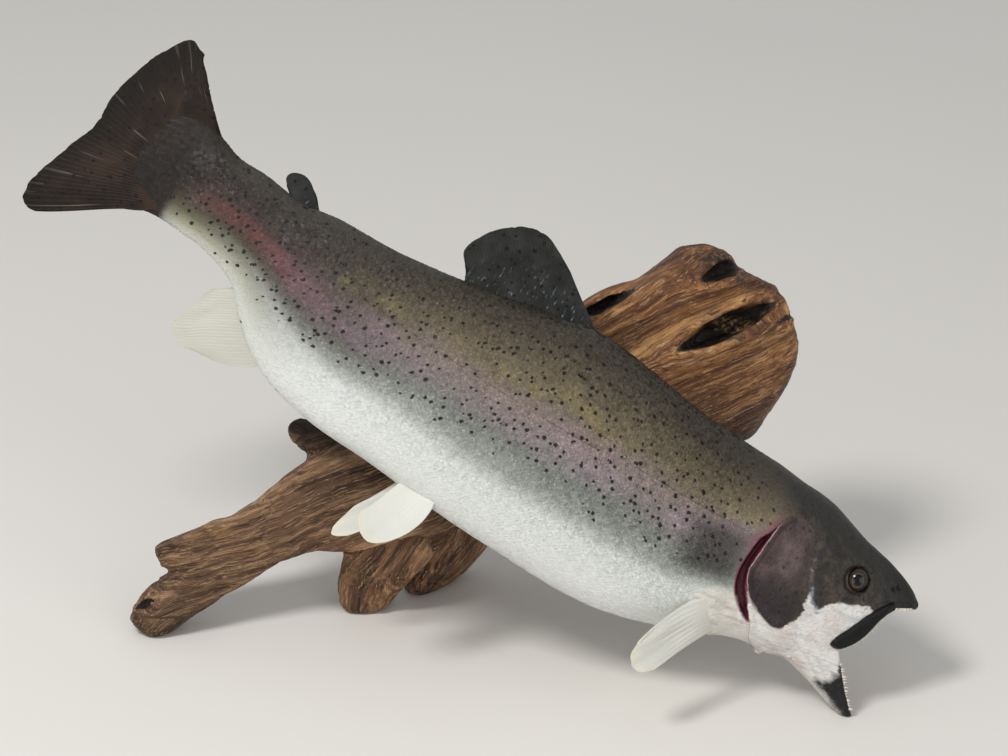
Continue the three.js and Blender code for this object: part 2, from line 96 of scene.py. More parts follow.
TAIL_FLESH = [
    [588, 62], [611, 50], [619, 44], [632, 39], [639.5, 30], [639, 8], [642, -13], [644, -23],
    [637, -33], [629, -38], [598, -62],
]
SNOUT_LIP = [
    [-8, 5], [6, 0], [14, -2.2], [22, -5.5], [31, -13], [33, -22], [24, -18], [14, -11],
    [6, -7], [-8, -8],
]
STREAK = [[80.5, 10], [79.2, 0], [76.7, -8.6], [73.3, -16.2], [67.3, -22.9]]
EYE = (47.3, 6.6)
EYE_DEPTH = 17.2
EYE_RADIUS = 8.4
NOSTRILS = [(19.6, 7.0), (16.6, 9.0)]
LATERAL_LINE = [
    [122, 8], [134, 12], [170, 15.5], [203, 18], [231, 17.2], [257, 14.5], [281, 14.3],
    [329, 16.5], [378, 19], [431, 21.6], [480, 18.8], [515, 12.6], [552, 11], [592, 9],
]

# The painted zones of the head, as outlines on its side.
WHITE_FACE = [
    [119, -30], [107, -32], [99.6, -37.5], [91, -41], [85, -41], [80.6, -35.5], [76, -27],
    [77.3, -17], [76, -11.5], [72.5, -17.5], [68, -21], [63, -16.8], [54, -12], [43, -10.5],
    [32, -9.5], [30, -22], [38, -38], [40, -60], [16, -104], [60, -112], [132, -112],
]
JAW_TIP = [
    [52.5, -69], [47, -68.5], [42.9, -65.3], [39, -60], [20, -66], [4, -90], [26, -90],
    [32.5, -85], [38.5, -79.8], [44.5, -74.6],
]
SHOULDER_PATCH = [
    [146, -40], [139, -32.5], [129, -31], [119, -38], [115.5, -52], [122, -62], [132, -68],
    [142, -62], [149, -50],
]

# Each fin is a fan from its base to its margin, as points of s, h and, on paired fins, w.
FINS = {
    "tail_fin": dict(
        base=[[590, 31], [596, 18], [598, 0], [596, -16], [590, -29]],
        margin=[
            [613, 56.5], [618.5, 71], [626.5, 79.5], [636.3, 84.6], [643, 87],
            [650, 82], [662, 64.3], [670, 44.2], [675.2, 26.2], [676.5, 5],
            [678.6, -4], [687.5, -22], [698, -50], [700, -63], [697.5, -69],
            [692, -72], [686, -72],
        ],
        root=6, edge=0.9, rays=26, wave=0.15, ragged=0.035, swell=(2.5, -3.5), heel=(0, 6.5),
        relief_height=0.08),
    "dorsal_fin": dict(
        base=[[282, 79], [336, 73], [389, 63]],
        margin=[
            [326, 113], [337.4, 119.4], [351.5, 125.8], [360.8, 127],
            [370.5, 124.8], [379.2, 119.6], [389.7, 111.3], [398.4, 99.5],
            [402, 92], [400.5, 86], [391, 81.5],
        ],
        root=5.5, edge=0.8, rays=22, wave=0.6, ragged=0.03),
    "adipose_fin": dict(
        base=[[511, 37], [520, 35], [530, 31]],
        margin=[
            [523, 46], [531, 51], [538, 52.5], [544, 50], [547, 46],
            [546, 41.5], [539, 37.5],
        ],
        root=5.5, edge=2.0, rays=0, wave=0.2, ragged=0),
    "anal_fin": dict(
        base=[[462, -54], [492, -43], [518, -32]],
        margin=[
            [505, -89], [519.4, -94.5], [533.5, -91.7], [539, -87.5],
            [537.8, -78], [535.6, -66.9], [535.6, -55.1], [531.8, -48.7],
            [524.7, -46.8],
        ],
        root=9, edge=0.8, rays=15, wave=0.9, ragged=0.02, swell=(-3, -7), relief_height=0.14),
    "pelvic_fin_right": dict(
        base=[[331, -68, 15], [342, -70, 12], [354, -70, 8]],
        margin=[
            [345.3, -113.4, 28], [350.5, -117.5, 29.5], [355.9, -118.9, 30],
            [364.3, -115.7, 30], [370.8, -107.2, 29], [368.4, -100, 26],
        ],
        root=5.5, edge=0.9, rays=12, wave=0.7, ragged=0.02, swell=(-6, -1), relief_height=0.04),
    "pelvic_fin_left": dict(
        base=[[333, -68, -15], [343, -70, -12], [355, -70, -8]],
        margin=[
            [371.1, -126.4, -26], [379.4, -131.3, -28], [382.6, -129.2, -28],
            [382, -121, -27], [377.1, -105.5, -24],
        ],
        root=5.5, edge=0.9, rays=12, wave=0.7, ragged=0.02, swell=(-4, 0), relief_height=0.1),
    "pectoral_fin_right": dict(
        base=[[137, -37, 32], [132.5, -47, 25], [128, -57, 17]],
        margin=[
            [169, -84.5, 54], [170.9, -95.5, 57], [169.1, -100, 57.5], [166.4, -103.9, 57.5],
            [160.7, -104.8, 57], [154, -99.5, 54],
        ],
        root=8.5, edge=0.9, rays=9, wave=1.1, ragged=0.012, swell=(3.5, 2), relief_height=0.42),
    "pectoral_fin_left": dict(
        base=[[137, -37, -32], [132.5, -47, -25], [128, -57, -17]],
        margin=[
            [158, -84, -41], [160, -91, -42.5], [159, -97, -43], [154, -101, -42.5],
            [147.5, -100, -41], [142, -93, -38.5],
        ],
        root=8.5, edge=0.9, rays=9, wave=1.1, ragged=0.012, swell=(3, 2), relief_height=0.42),
}

# The driftwood's heartlines in the upright mount: x, y, z.
LIMBS = {
    "log": [
        [-251, -2, -128], [-222, -2, -121], [-170, 0, -106], [-125, 0, -86], [-90, -1, -74],
        [-53, -2, -58], [26, -8, -26], [62, -12, -8], [100, -16, 11], [152, -22, 37],
        [207, -22, 66], [240, -22, 83],
    ],
    "left_foot": [[-172, 0, -118], [-203, 0, -136], [-230, 0, -155], [-261, 0, -184]],
    "middle_foot": [[-60, 2, -80], [-80, 14, -110], [-96, 25, -136], [-104, 42, -178]],
    "back_root": [[-2, 6, -56], [-22, 30, -94], [-42, 53, -127], [-60, 76, -163]],
    "stub": [[-154, 4, -33], [-133, 2, -46], [-112, 0, -60]],
}
LIMB_GIRTH = {"log": 50, "left_foot": 18, "middle_foot": 28, "back_root": 34, "stub": 12}

# ---- Working tools ------------------------------------------------------------------------


def only(piece):
    """Leaves one piece selected and active."""
    if bpy.context.mode != "OBJECT":
        bpy.ops.object.mode_set(mode="OBJECT")
    bpy.ops.object.select_all(action="DESELECT")
    piece.select_set(True)
    bpy.context.view_layer.objects.active = piece


def named(name):
    piece = bpy.context.object
    piece.name = name
    piece.data.name = name
    return piece


def numbers_of(items, field, width=3, kind=float):
    """A field of all of a mesh's points or edges, in rows."""
    flat = np.empty(len(items) * width, kind)
    items.foreach_get(field, flat)
    return flat.reshape(-1, width)


def points_of(piece):
    return numbers_of(piece.data.vertices, "co")


def set_points(piece, points):
    piece.data.vertices.foreach_set("co", np.ascontiguousarray(points, float).ravel())
    piece.data.update()


def edges_of(piece):
    return numbers_of(piece.data.edges, "vertices", 2, int)


def keep(piece, name, values):
    """Stores numbers or vectors on a piece's points, for its finish to read."""
    values = np.asarray(values, float)
    kind, field = ("FLOAT", "value") if values.ndim == 1 else ("FLOAT_VECTOR", "vector")
    layer = piece.data.attributes.new(name, kind, "POINT")
    layer.data.foreach_set(field, values.astype(np.float32).ravel())


def modify(piece, kind, **settings):
    only(piece)
    modifier = piece.modifiers.new(kind.lower(), kind)
    for setting, value in settings.items():
        setattr(modifier, setting, value)
    bpy.ops.object.modifier_apply(modifier=modifier.name)


def cut_away(piece, cutter):
    modify(piece, "BOOLEAN", object=cutter, operation="DIFFERENCE", solver="EXACT")
    bpy.data.objects.remove(cutter)


def face_outwards(piece):
    only(piece)
    bpy.ops.object.mode_set(mode="EDIT")
    bpy.ops.mesh.select_all(action="SELECT")
    bpy.ops.mesh.normals_make_consistent(inside=False)
    bpy.ops.object.mode_set(mode="OBJECT")


def smooth_faces(piece, degrees=None):
    only(piece)
    if degrees is None:
        bpy.ops.object.shade_smooth()
    else:
        bpy.ops.object.shade_smooth_by_angle(angle=math.radians(degrees))


def merged(name, pieces):
    """Joins pieces into one mesh."""
    only(pieces[0])
    for piece in pieces:
        piece.select_set(True)
    bpy.ops.object.join()
    return named(name)


def rows(*columns):
    """Rows of numbers, such as points, from their columns."""
    return np.stack(np.broadcast_arrays(*columns), -1)


def relaxed(points, edges, weight, rounds):
    """Draws each point towards the middle of its neighbours."""
    count = np.bincount(edges.ravel(), minlength=len(points))[:, None]
    for _ in range(rounds):
        total = np.zeros_like(points)
        for axis in range(3):
            total[:, axis] = np.bincount(edges[:, 0], points[edges[:, 1], axis], len(points))
            total[:, axis] += np.bincount(edges[:, 1], points[edges[:, 0], axis], len(points))
        points = points + weight[:, None] * (total / np.maximum(count, 1) - points)
    return points


def rise(value, low, high):
    """A smooth step from 0 at low to 1 at high."""
    t = np.clip((value - low) / (high - low), 0, 1)
    return t * t * (3 - 2 * t)


def bell(value, width):
    """1 at zero, and less on both sides of it."""
    return np.exp(-(value / width) ** 2)


def hashed(cell, seed):
    x, y, z = (cell[..., axis].astype(np.int64).astype(np.uint32) for axis in range(3))
    h = x * np.uint32(374761393) + y * np.uint32(668265263) + z * np.uint32(2246822519)
    h = h + np.uint32(seed * 3266489917 % 4294967296)
    h = (h ^ (h >> np.uint32(15))) * np.uint32(2246822519)
    h = (h ^ (h >> np.uint32(13))) * np.uint32(3266489917)
    return ((h ^ (h >> np.uint32(16))) & np.uint32(65535)) / 65535.0


def waver(points, size, seed, octaves=1):
    """Smooth noise from -1 to 1 with bumps about size apart."""
    total, gain, sum_of_gains = 0.0, 1.0, 0.0
    for octave in range(octaves):
        q = points / size * 2.0 ** octave + 17.3
        cell = np.floor(q)
        f = q - cell
        f = f * f * (3 - 2 * f)
        value = 0.0
        for corner in range(8):
            step = np.array([(corner >> axis) & 1 for axis in range(3)])
            share = np.prod(np.where(step, f, 1 - f), axis=-1)
            value = value + share * hashed(cell + step, seed + 31 * octave)
        total = total + gain * (2 * value - 1)
        sum_of_gains += gain
        gain *= 0.5
    return total / sum_of_gains


# ---- Curves and the fish's frame ----------------------------------------------------------


def smooth_line(points, per_span=12, closed=False):
    """A curve through the points, as a dense row of points."""
    points = np.asarray(points, float)
    if closed:
        row = np.vstack([points[-1:], points, points[:2]])
    else:
        row = np.vstack([2 * points[0] - points[1], points, 2 * points[-1] - points[-2]])
    t = (np.arange(per_span) / per_span)[:, None]
    spans = []
    for a, b, c, d in zip(row, row[1:], row[2:], row[3:]):
        spans.append(0.5 * (2 * b + (c - a) * t + (2 * a - 5 * b + 4 * c - d) * t * t
                            + (3 * b - 3 * c + d - a) * t ** 3))
    if not closed:
        spans.append(points[-1:])
    return np.vstack(spans)


def lengths_along(line):
    return np.r_[0, np.cumsum(np.linalg.norm(np.diff(line, axis=0), axis=1))]


def between(at, places, table):
    """The rows of a table, read between the places that they stand for."""
    return np.stack([np.interp(at, places, column) for column in table.T], -1)


def spaced(line, shares):
    """The points at some shares of a line's length."""
    steps = lengths_along(line)
    return between(np.asarray(shares) * steps[-1], steps, line)


def unit(ways):
    """The same directions, each of them one long."""
    return ways / np.linalg.norm(ways, axis=1)[:, None]


HEARTLINE = smooth_line(SPINE, 120)
HEART_STEPS = lengths_along(HEARTLINE)
HEART_WAY = unit(np.gradient(HEARTLINE, axis=0))


def turned(first, second, angle):
    """Two coordinates, read in a frame turned from the first towards the second."""
    return (first * math.cos(angle) + second * math.sin(angle),
            second * math.cos(angle) - first * math.sin(angle))


def on_mount(points):
    """Carries points of the upright mount, in millimetres, to their place in metres."""
    x, y, z = points.T
    y, z = turned(y, z, LEAN)
    return MM * rows(x + CENTRE_X, y + CENTRE_Y, z + STAND_HEIGHT)


def off_mount(points):
    """Carries points in metres back to the upright mount, in millimetres."""
    x, y, z = (points / MM - [CENTRE_X, CENTRE_Y, STAND_HEIGHT]).T
    return rows(x, *turned(y, z, -LEAN))


ON_FLOOR = 0.002  # below this height, in metres, the jaw's tip is pressed flat


def bent(points):
    """Carries points of the straight fish (s, w, h) to their place in metres.

    The tip of the jaw stands on the floor, so what would sink into it is pressed flat.
    """
    s, w, h = points.T
    on_spine = np.clip(s, 0, HEART_STEPS[-1])
    way = unit(between(on_spine, HEART_STEPS, HEART_WAY))
    place = between(on_spine, HEART_STEPS, HEARTLINE) + way * (s - on_spine)[:, None]
    place = place + unit(rows(way[:, 2], 0, -way[:, 0])) * h[:, None]
    place[:, 1] -= w
    place = on_mount(place)
    low = place[:, 2] < ON_FLOOR
    place[low, 2] = ON_FLOOR * np.exp(place[low, 2] / ON_FLOOR - 1)
    return place


def read(table, at, column):
    """A table's value on a smooth curve through its rows."""
    places, values = table[:, 0], table[:, column]
    at = np.asarray(at, float)
    row = np.clip(np.searchsorted(places, at) - 1, 0, len(places) - 2)
    last = len(places) - 1
    slope = np.array([
        (values[min(k + 1, last)] - values[max(k - 1, 0)])
        / (places[min(k + 1, last)] - places[max(k - 1, 0)]) for k in range(last + 1)])
    span = places[row + 1] - places[row]
    t = np.clip((at - places[row]) / span, 0, 1)
    blend = t * t * (3 - 2 * t)
    bulge = t * (1 - t) * span
    value = values[row] * (1 - blend) + values[row + 1] * blend
    return value + bulge * ((1 - t) * slope[row] - t * slope[row + 1])


def section(s):
    """The body's widest level, its reach above and below that, and its half width."""
    up, down, half = (read(BODY, s, column) for column in (1, 2, 3))
    level = up - WIDEST * (up + down)
    return level, up - level, down + level, half


def oval(angle, half, above, below, roundness=ROUNDNESS):
    def power(value):
        return np.sign(value) * np.abs(value) ** (2 / roundness)
    climb = power(np.sin(angle))
    return half * power(np.cos(angle)), climb * np.where(climb > 0, above, below)


def fullness(points):
    """1 on the body's surface, less inside it."""
    s, w, h = points.T
    level, above, below, half = section(np.clip(s, 0, FLESH_END))
    share = np.where(h > level, (h - level) / above, (level - h) / below)
    return (np.abs(w / half) ** ROUNDNESS + np.abs(share) ** ROUNDNESS) ** (1 / ROUNDNESS)


def depth_and_way(points):
    """Height over the body's surface and the way out of it."""
    step = 0.05
    value = fullness(points)
    slope = np.stack([
        (fullness(points + step * np.eye(3)[axis]) - fullness(points - step * np.eye(3)[axis]))
        / (2 * step) for axis in range(3)], -1)
    size = np.maximum(np.linalg.norm(slope, axis=1), 1e-6)
    return (value - 1) / size, slope / size[:, None]


def fall(points):
    """0 along the back to 1 along the belly."""
    level, above, below, _ = section(np.clip(points[:, 0], 0, FLESH_END))
    return (level + above - points[:, 2]) / (above + below)


SPANS, QUARTER = 301, 60
STATIONS = np.linspace(0, FLESH_END, SPANS + 1)
TURNS = np.linspace(-math.pi / 2, math.pi / 2, 2 * QUARTER + 1)
JUST_UNDER = 0.001  # keeps the last place within the last span


def section_rings():
    """The body's right side at each station: w, h and the arc from the widest level."""
    level, above, below, half = (row[:, None] for row in section(STATIONS))
    w, h = oval(TURNS[None, :], half, above, below)
    run = np.hypot(np.diff(w, axis=1), np.diff(h, axis=1))
    arcs = np.concatenate([np.zeros((len(STATIONS), 1)), np.cumsum(run, axis=1)], axis=1)
    return w, h + level, arcs - arcs[:, QUARTER:QUARTER + 1]


RING_W, RING_H, ARCS = section_rings()


def around(points):
    """The way around the body from the ridge of the back: below 0 on the left side."""
    s, w, h = points.T
    level, above, below, half = section(np.clip(s, 0, FLESH_END))
    share = np.where(h > level, (h - level) / above, (h - level) / below)
    turn = np.arctan2(np.sign(share) * np.abs(share) ** (ROUNDNESS / 2),
                      np.maximum(np.abs(w / half), 1e-6) ** (ROUNDNESS / 2))
    row = np.clip(s / FLESH_END * SPANS, 0, SPANS - JUST_UNDER)
    column = np.clip((turn / math.pi + 0.5) * 2 * QUARTER, 0, 2 * QUARTER - JUST_UNDER)
    i, j = row.astype(int), column.astype(int)
    a, b = row - i, column - j
    arc = ((1 - a) * ((1 - b) * ARCS[i, j] + b * ARCS[i, j + 1])
           + a * ((1 - b) * ARCS[i + 1, j] + b * ARCS[i + 1, j + 1]))
    high = (1 - a) * ARCS[i, -1] + a * ARCS[i + 1, -1]
    return np.where(w < 0, -1, 1) * (high - arc)


FAR = 9.0  # the farthest that an outline is followed, in millimetres


def distance_to(line, s, h):
    """The distance to a line on the side, from each place."""
    found = np.full(s.shape, 99.0)
    a, b = line[:-1], line[1:]
    run = b - a
    run_length = np.maximum((run ** 2).sum(1), 1e-9)
    near = np.flatnonzero(
        (s > line[:, 0].min() - FAR) & (s < line[:, 0].max() + FAR)
        & (h > line[:, 1].min() - FAR) & (h < line[:, 1].max() + FAR))
    for part in np.array_split(near, max(1, len(near) // 4000)):
        p = rows(s[part], h[part])[:, None]
        t = np.clip(((p - a) * run).sum(-1) / run_length, 0, 1)
        gap = p - (a + t[..., None] * run)
        found[part] = np.sqrt((gap ** 2).sum(-1).min(1))
    return found


def inside(outline, s, h, smooth=True):
    """The distance to an outline on the side: above zero within it."""
    ring = smooth_line(outline, 6, closed=True) if smooth else np.asarray(outline, float)
    ring = np.vstack([ring, ring[:1]])
    gap = distance_to(ring, s, h)
    within = np.zeros(s.shape, bool)
    for (s0, h0), (s1, h1) in zip(ring, ring[1:]):
        if h0 == h1:
            continue
        crosses = (h0 > h) != (h1 > h)
        within ^= crosses & (s < s0 + (h - h0) * (s1 - s0) / (h1 - h0))
    return np.where(within, gap, -gap)


def groove(line, s, h, width, depth):
    return -depth * bell(distance_to(smooth_line(line, 8), s, h), width)


# ---- Paint and finishes -------------------------------------------------------------------


def tint(code):
    """A colour from its written code, as light."""
    parts = [int(code[k:k + 2], 16) / 255 for k in (1, 3, 5)]
    light = [c / 12.92 if c <= 0.04045 else ((c + 0.055) / 1.055) ** 2.4 for c in parts]
    return (*light, 1.0)


def by_sign(operation, swapped=False):
    def work(first, second=0.0):
        pair = (second, first) if swapped else (first, second)
        return first.finish.calc(operation, *pair)
    return work


class Field:
    """A number, a place or a colour worked out over a surface, for sums in plain signs."""

    def __init__(self, finish, socket):
        self.finish, self.socket = finish, socket

    __add__ = __radd__ = by_sign("ADD")
    __sub__, __rsub__ = by_sign("SUBTRACT"), by_sign("SUBTRACT", swapped=True)
    __mul__ = __rmul__ = by_sign("MULTIPLY")
    __pow__, __gt__, __abs__ = by_sign("POWER"), by_sign("GREATER_THAN"), by_sign("ABSOLUTE")


class Finish:
    """A procedural finish, put together from nodes."""

    def __init__(self, name, **sockets):
        self.material = bpy.data.materials.new(name)
        self.material.use_nodes = True
        self.nodes = self.material.node_tree.nodes
        self.links = self.material.node_tree.links
        self.shader = self.nodes["Principled BSDF"]
        for socket, value in sockets.items():
            self.feed(self.shader, socket.replace("_", " "), value)

    def feed(self, node, socket, value):
        target = node.inputs[socket]
        if isinstance(value, Field):
            self.links.new(value.socket, target)
        elif isinstance(value, str):
            target.default_value = tint(value)
        else:
            target.default_value = value

    def paint(self, colour):
        self.feed(self.shader, "Base Color", colour)

    def add(self, kind, output=0, inputs=(), **settings):
        """Adds a node with its settings and inputs, and gives one of its outputs."""
        node = self.nodes.new("ShaderNode" + kind)
        for setting, value in settings.items():
            setattr(node, setting, value)
        for socket, value in inputs:
            self.feed(node, socket, value)
        return Field(self, node.outputs[output])

    def kept(self, name, vector=False):
        return self.add("Attribute", "Vector" if vector else "Fac", attribute_name=name)

    def place(self):
        return self.add("TexCoord", "Object")

    def parts(self, vector):
        first = self.add("SeparateXYZ", inputs=[(0, vector)])
        return [Field(self, socket) for socket in first.socket.node.outputs]

    def scaled(self, vector, scale, turn=(0, 0, 0)):
        return self.add("Mapping", inputs=[
            ("Vector", vector), ("Scale", scale), ("Rotation", turn)])

    def calc(self, operation, *values):
        return self.add("Math", inputs=enumerate(values), operation=operation)

    def most(self, first, second):
        return self.calc("MAXIMUM", first, second)

    def moved(self, vector, step):
        return self.add("VectorMath", inputs=[(0, vector), (1, step)], operation="ADD")

    def noise(self, vector, scale, detail=2.0, roughness=0.5, output="Fac"):
        return self.add("TexNoise", output, [
            ("Vector", vector), ("Scale", scale), ("Detail", detail), ("Roughness", roughness)])

    def cells(self, vector, scale):
        """The distance to the middle of a cell, and three numbers drawn for each cell."""
        near = self.add("TexVoronoi", "Distance", [("Vector", vector), ("Scale", scale)],
                        voronoi_dimensions="2D")
        return near, self.parts(Field(self, near.socket.node.outputs["Color"]))

    def fade(self, value, low, high, start=0.0, end=1.0):
        """A smooth step from start to end, as a value goes from low to high."""
        return self.add("MapRange", inputs=[
            ("Value", value), ("From Min", low), ("From Max", high), ("To Min", start),
            ("To Max", end)], interpolation_type="SMOOTHSTEP", clamp=True)

    def ramp(self, value, stops):
        colour = self.add("ValToRGB", "Color", [("Fac", value)])
        elements = colour.socket.node.color_ramp.elements
        for element, (at, code) in zip(elements, stops[:2]):
            element.position, element.color = at, tint(code)
        for at, code in stops[2:]:
            elements.new(at).color = tint(code)
        return colour

    def mix(self, share, first, second, blend="MIX"):
        return self.add("Mix", 2, [("Factor", share), (6, first), (7, second)],
                        data_type="RGBA", blend_type=blend)

    def bump(self, height, distance, strength=1.0):
        normal = self.add("Bump", inputs=[
            ("Height", height), ("Distance", distance), ("Strength", strength)])
        self.feed(self.shader, "Normal", normal)


def jittered(f, vector, scale, amount, detail=3.0):
    """A vector moved about by noise."""
    noise = f.noise(vector, scale, detail, output="Color")
    off_middle = f.moved(noise, (-0.5, -0.5, -0.5))
    step = f.add("VectorMath", inputs=[(0, off_middle), ("Scale", amount)], operation="SCALE")
    return f.moved(vector, step)


def tail_brown(f, fish):
    brown = f.ramp(f.noise(fish, 55, 4, 0.6),
                   [(0.3, "#140e0a"), (0.5, "#211810"), (0.7, "#302419")])
    return f.mix(f.fade(f.noise(fish, 24, 3), 0.46, 0.62, 0.0, 0.7), brown, "#38291e")


def flesh_colour(f, fish, drop_raw):
    """The colours of the body, by the way round from the back, with its black spots."""
    along = f.parts(fish)[0]
    sheet = f.kept("sheet", vector=True)
    broad = f.noise(f.scaled(fish, (0.6, 1, 1)), 26, 3, 0.55)
    wander = drop_raw + (broad * 0.08 - 0.04)
    off_middle = abs(along - 0.3)
    shift = f.fade(off_middle, 0.03, 0.09, 0.0, 0.025) * f.fade(along, 0.16, 0.21)
    wander = wander + (shift + f.fade(along, 0.19, 0.15, 0.0, -0.012))
    flank = f.ramp(wander, [
        (0.02, "#37332b"), (0.12, "#423b30"), (0.21, "#574d3c"), (0.31, "#6c614e"),
        (0.43, "#7d7169"), (0.53, "#777570"), (0.61, "#7d807b"), (0.69, "#999c96"),
        (0.77, "#cfd2cd"), (1.0, "#e0e2dd")])
    stalk = f.ramp(wander, [
        (0.0, "#423e37"), (0.28, "#2b2420"), (0.45, "#372a25"), (0.58, "#3d2f2a"),
        (0.70, "#473f32"), (0.80, "#5b5742"), (0.90, "#918e79"), (1.0, "#c6c6bb")])
    rear = along + (broad * 0.06 - 0.03)
    rear = rear + f.fade(drop_raw, 0.54, 0.74, 0.0, -0.06)
    body = f.mix(f.fade(rear, 0.35, 0.52), flank, stalk)

    # The pink band, strongest on the shoulder and on the tail's stalk.
    band_at = f.fade(along, 0.35, 0.6) * 0.12 + 0.45
    off_band = abs(wander - band_at)
    patchy = f.fade(f.noise(f.scaled(fish, (0.45, 1, 1.4)), 30, 2), 0.35, 0.65, 0.25, 1.0)
    band = f.fade(off_band, 0.15, 0.02) * patchy
    pink = f.mix(f.fade(along, 0.26, 0.38), "#a48e9c", "#87717f")
    pink = f.mix(f.fade(along, 0.42, 0.54), pink, "#703f3b")
    band = band * f.fade(along, 0.6, 0.56)
    body = f.mix(band * 0.5, body, pink)

    # Olive-gold patches on the upper side, and a painted shadow just under the band behind the
    # gill slit.
    gold = f.fade(abs(wander - 0.3), 0.11, 0.0) * f.fade(f.noise(fish, 44, 3, 0.6), 0.45, 0.66)
    gold = gold * f.fade(along, 0.56, 0.46)
    body = f.mix(gold * 0.5, body, "#81754e")
    shadow = f.fade(abs(along - 0.147), 0.036, 0.008) * f.fade(abs(wander - 0.54), 0.2, 0.08)
    body = f.mix(shadow * 0.92, body, "#3c3935")

    # Fine darker specks, painted glints, and black spots, small and ragged.
    specks_and_glints = f.noise(fish, 520, 3, 0.7)
    dark_specks = f.fade(specks_and_glints, 0.47, 0.34) * f.fade(drop_raw, 0.6, 0.74, 0.45, 0.03)
    body = f.mix(dark_specks, body, f.mix(0.45, body, "#16130f"))
    # A lighter copy of the body colour, laid in fine specks: painted glints.
    bright = f.mix(1.0, body, (1.75, 1.66, 1.5, 1), "MULTIPLY")
    specks_and_glints = f.fade(specks_and_glints, 0.52, 0.68) * f.fade(drop_raw, 0.62, 0.74, 0.75, 0.04)
    body = f.mix(specks_and_glints, body, bright)
    root = f.fade(along + (broad * 0.04 - 0.02), 0.57, 0.606)
    near_fin = f.fade(along + (broad * 0.02 - 0.01), 0.584, 0.606)
    root = root * f.most(f.fade(drop_raw, 0.55, 0.8, 1.0, 0.6), near_fin)
    body = f.mix(root, body, f.mix(f.fade(broad, 0.35, 0.65, 0.55, 0.9), tail_brown(f, fish),
                                   "#140c06"))
    field = jittered(f, sheet, 640, 0.0016, 2.0)
    low = f.fade(along, 0.4, 0.56) * -0.24 + drop_raw
    sparse_back = f.fade(low, 0.20, 0.04, 0.0, 0.45)
    thin = f.fade(low, 0.58, 0.70, 0.0, 0.92)
    thin = thin + f.fade(along, 0.42, 0.56, 0.0, -0.38)
    few = sparse_back + thin + f.fade(along, 0.15, 0.11, 0.0, 0.35)
    crease = f.fade(f.kept("line") + broad * 0.4, 0.9, 0.3)
    crease = crease * f.fade(f.noise(fish, 90, 2), 0.35, 0.55, 0.3, 0.75)
    body = f.mix(crease, body, "#46302c")
    for scale, shift, least, spread, share in (
            (90, 0, 0.095, 0.05, 0.2), (118, 0.37, 0.10, 0.06, 0.5)):
        near, lot = f.cells(f.moved(field, (shift, shift, 0)), scale)
        size = lot[0] * spread + least
        mark = f.fade(size - near, -0.02, 0.03) * (lot[1] > few + share)
        body = f.mix(mark * 0.96, body, "#0f0d0a")
    return body


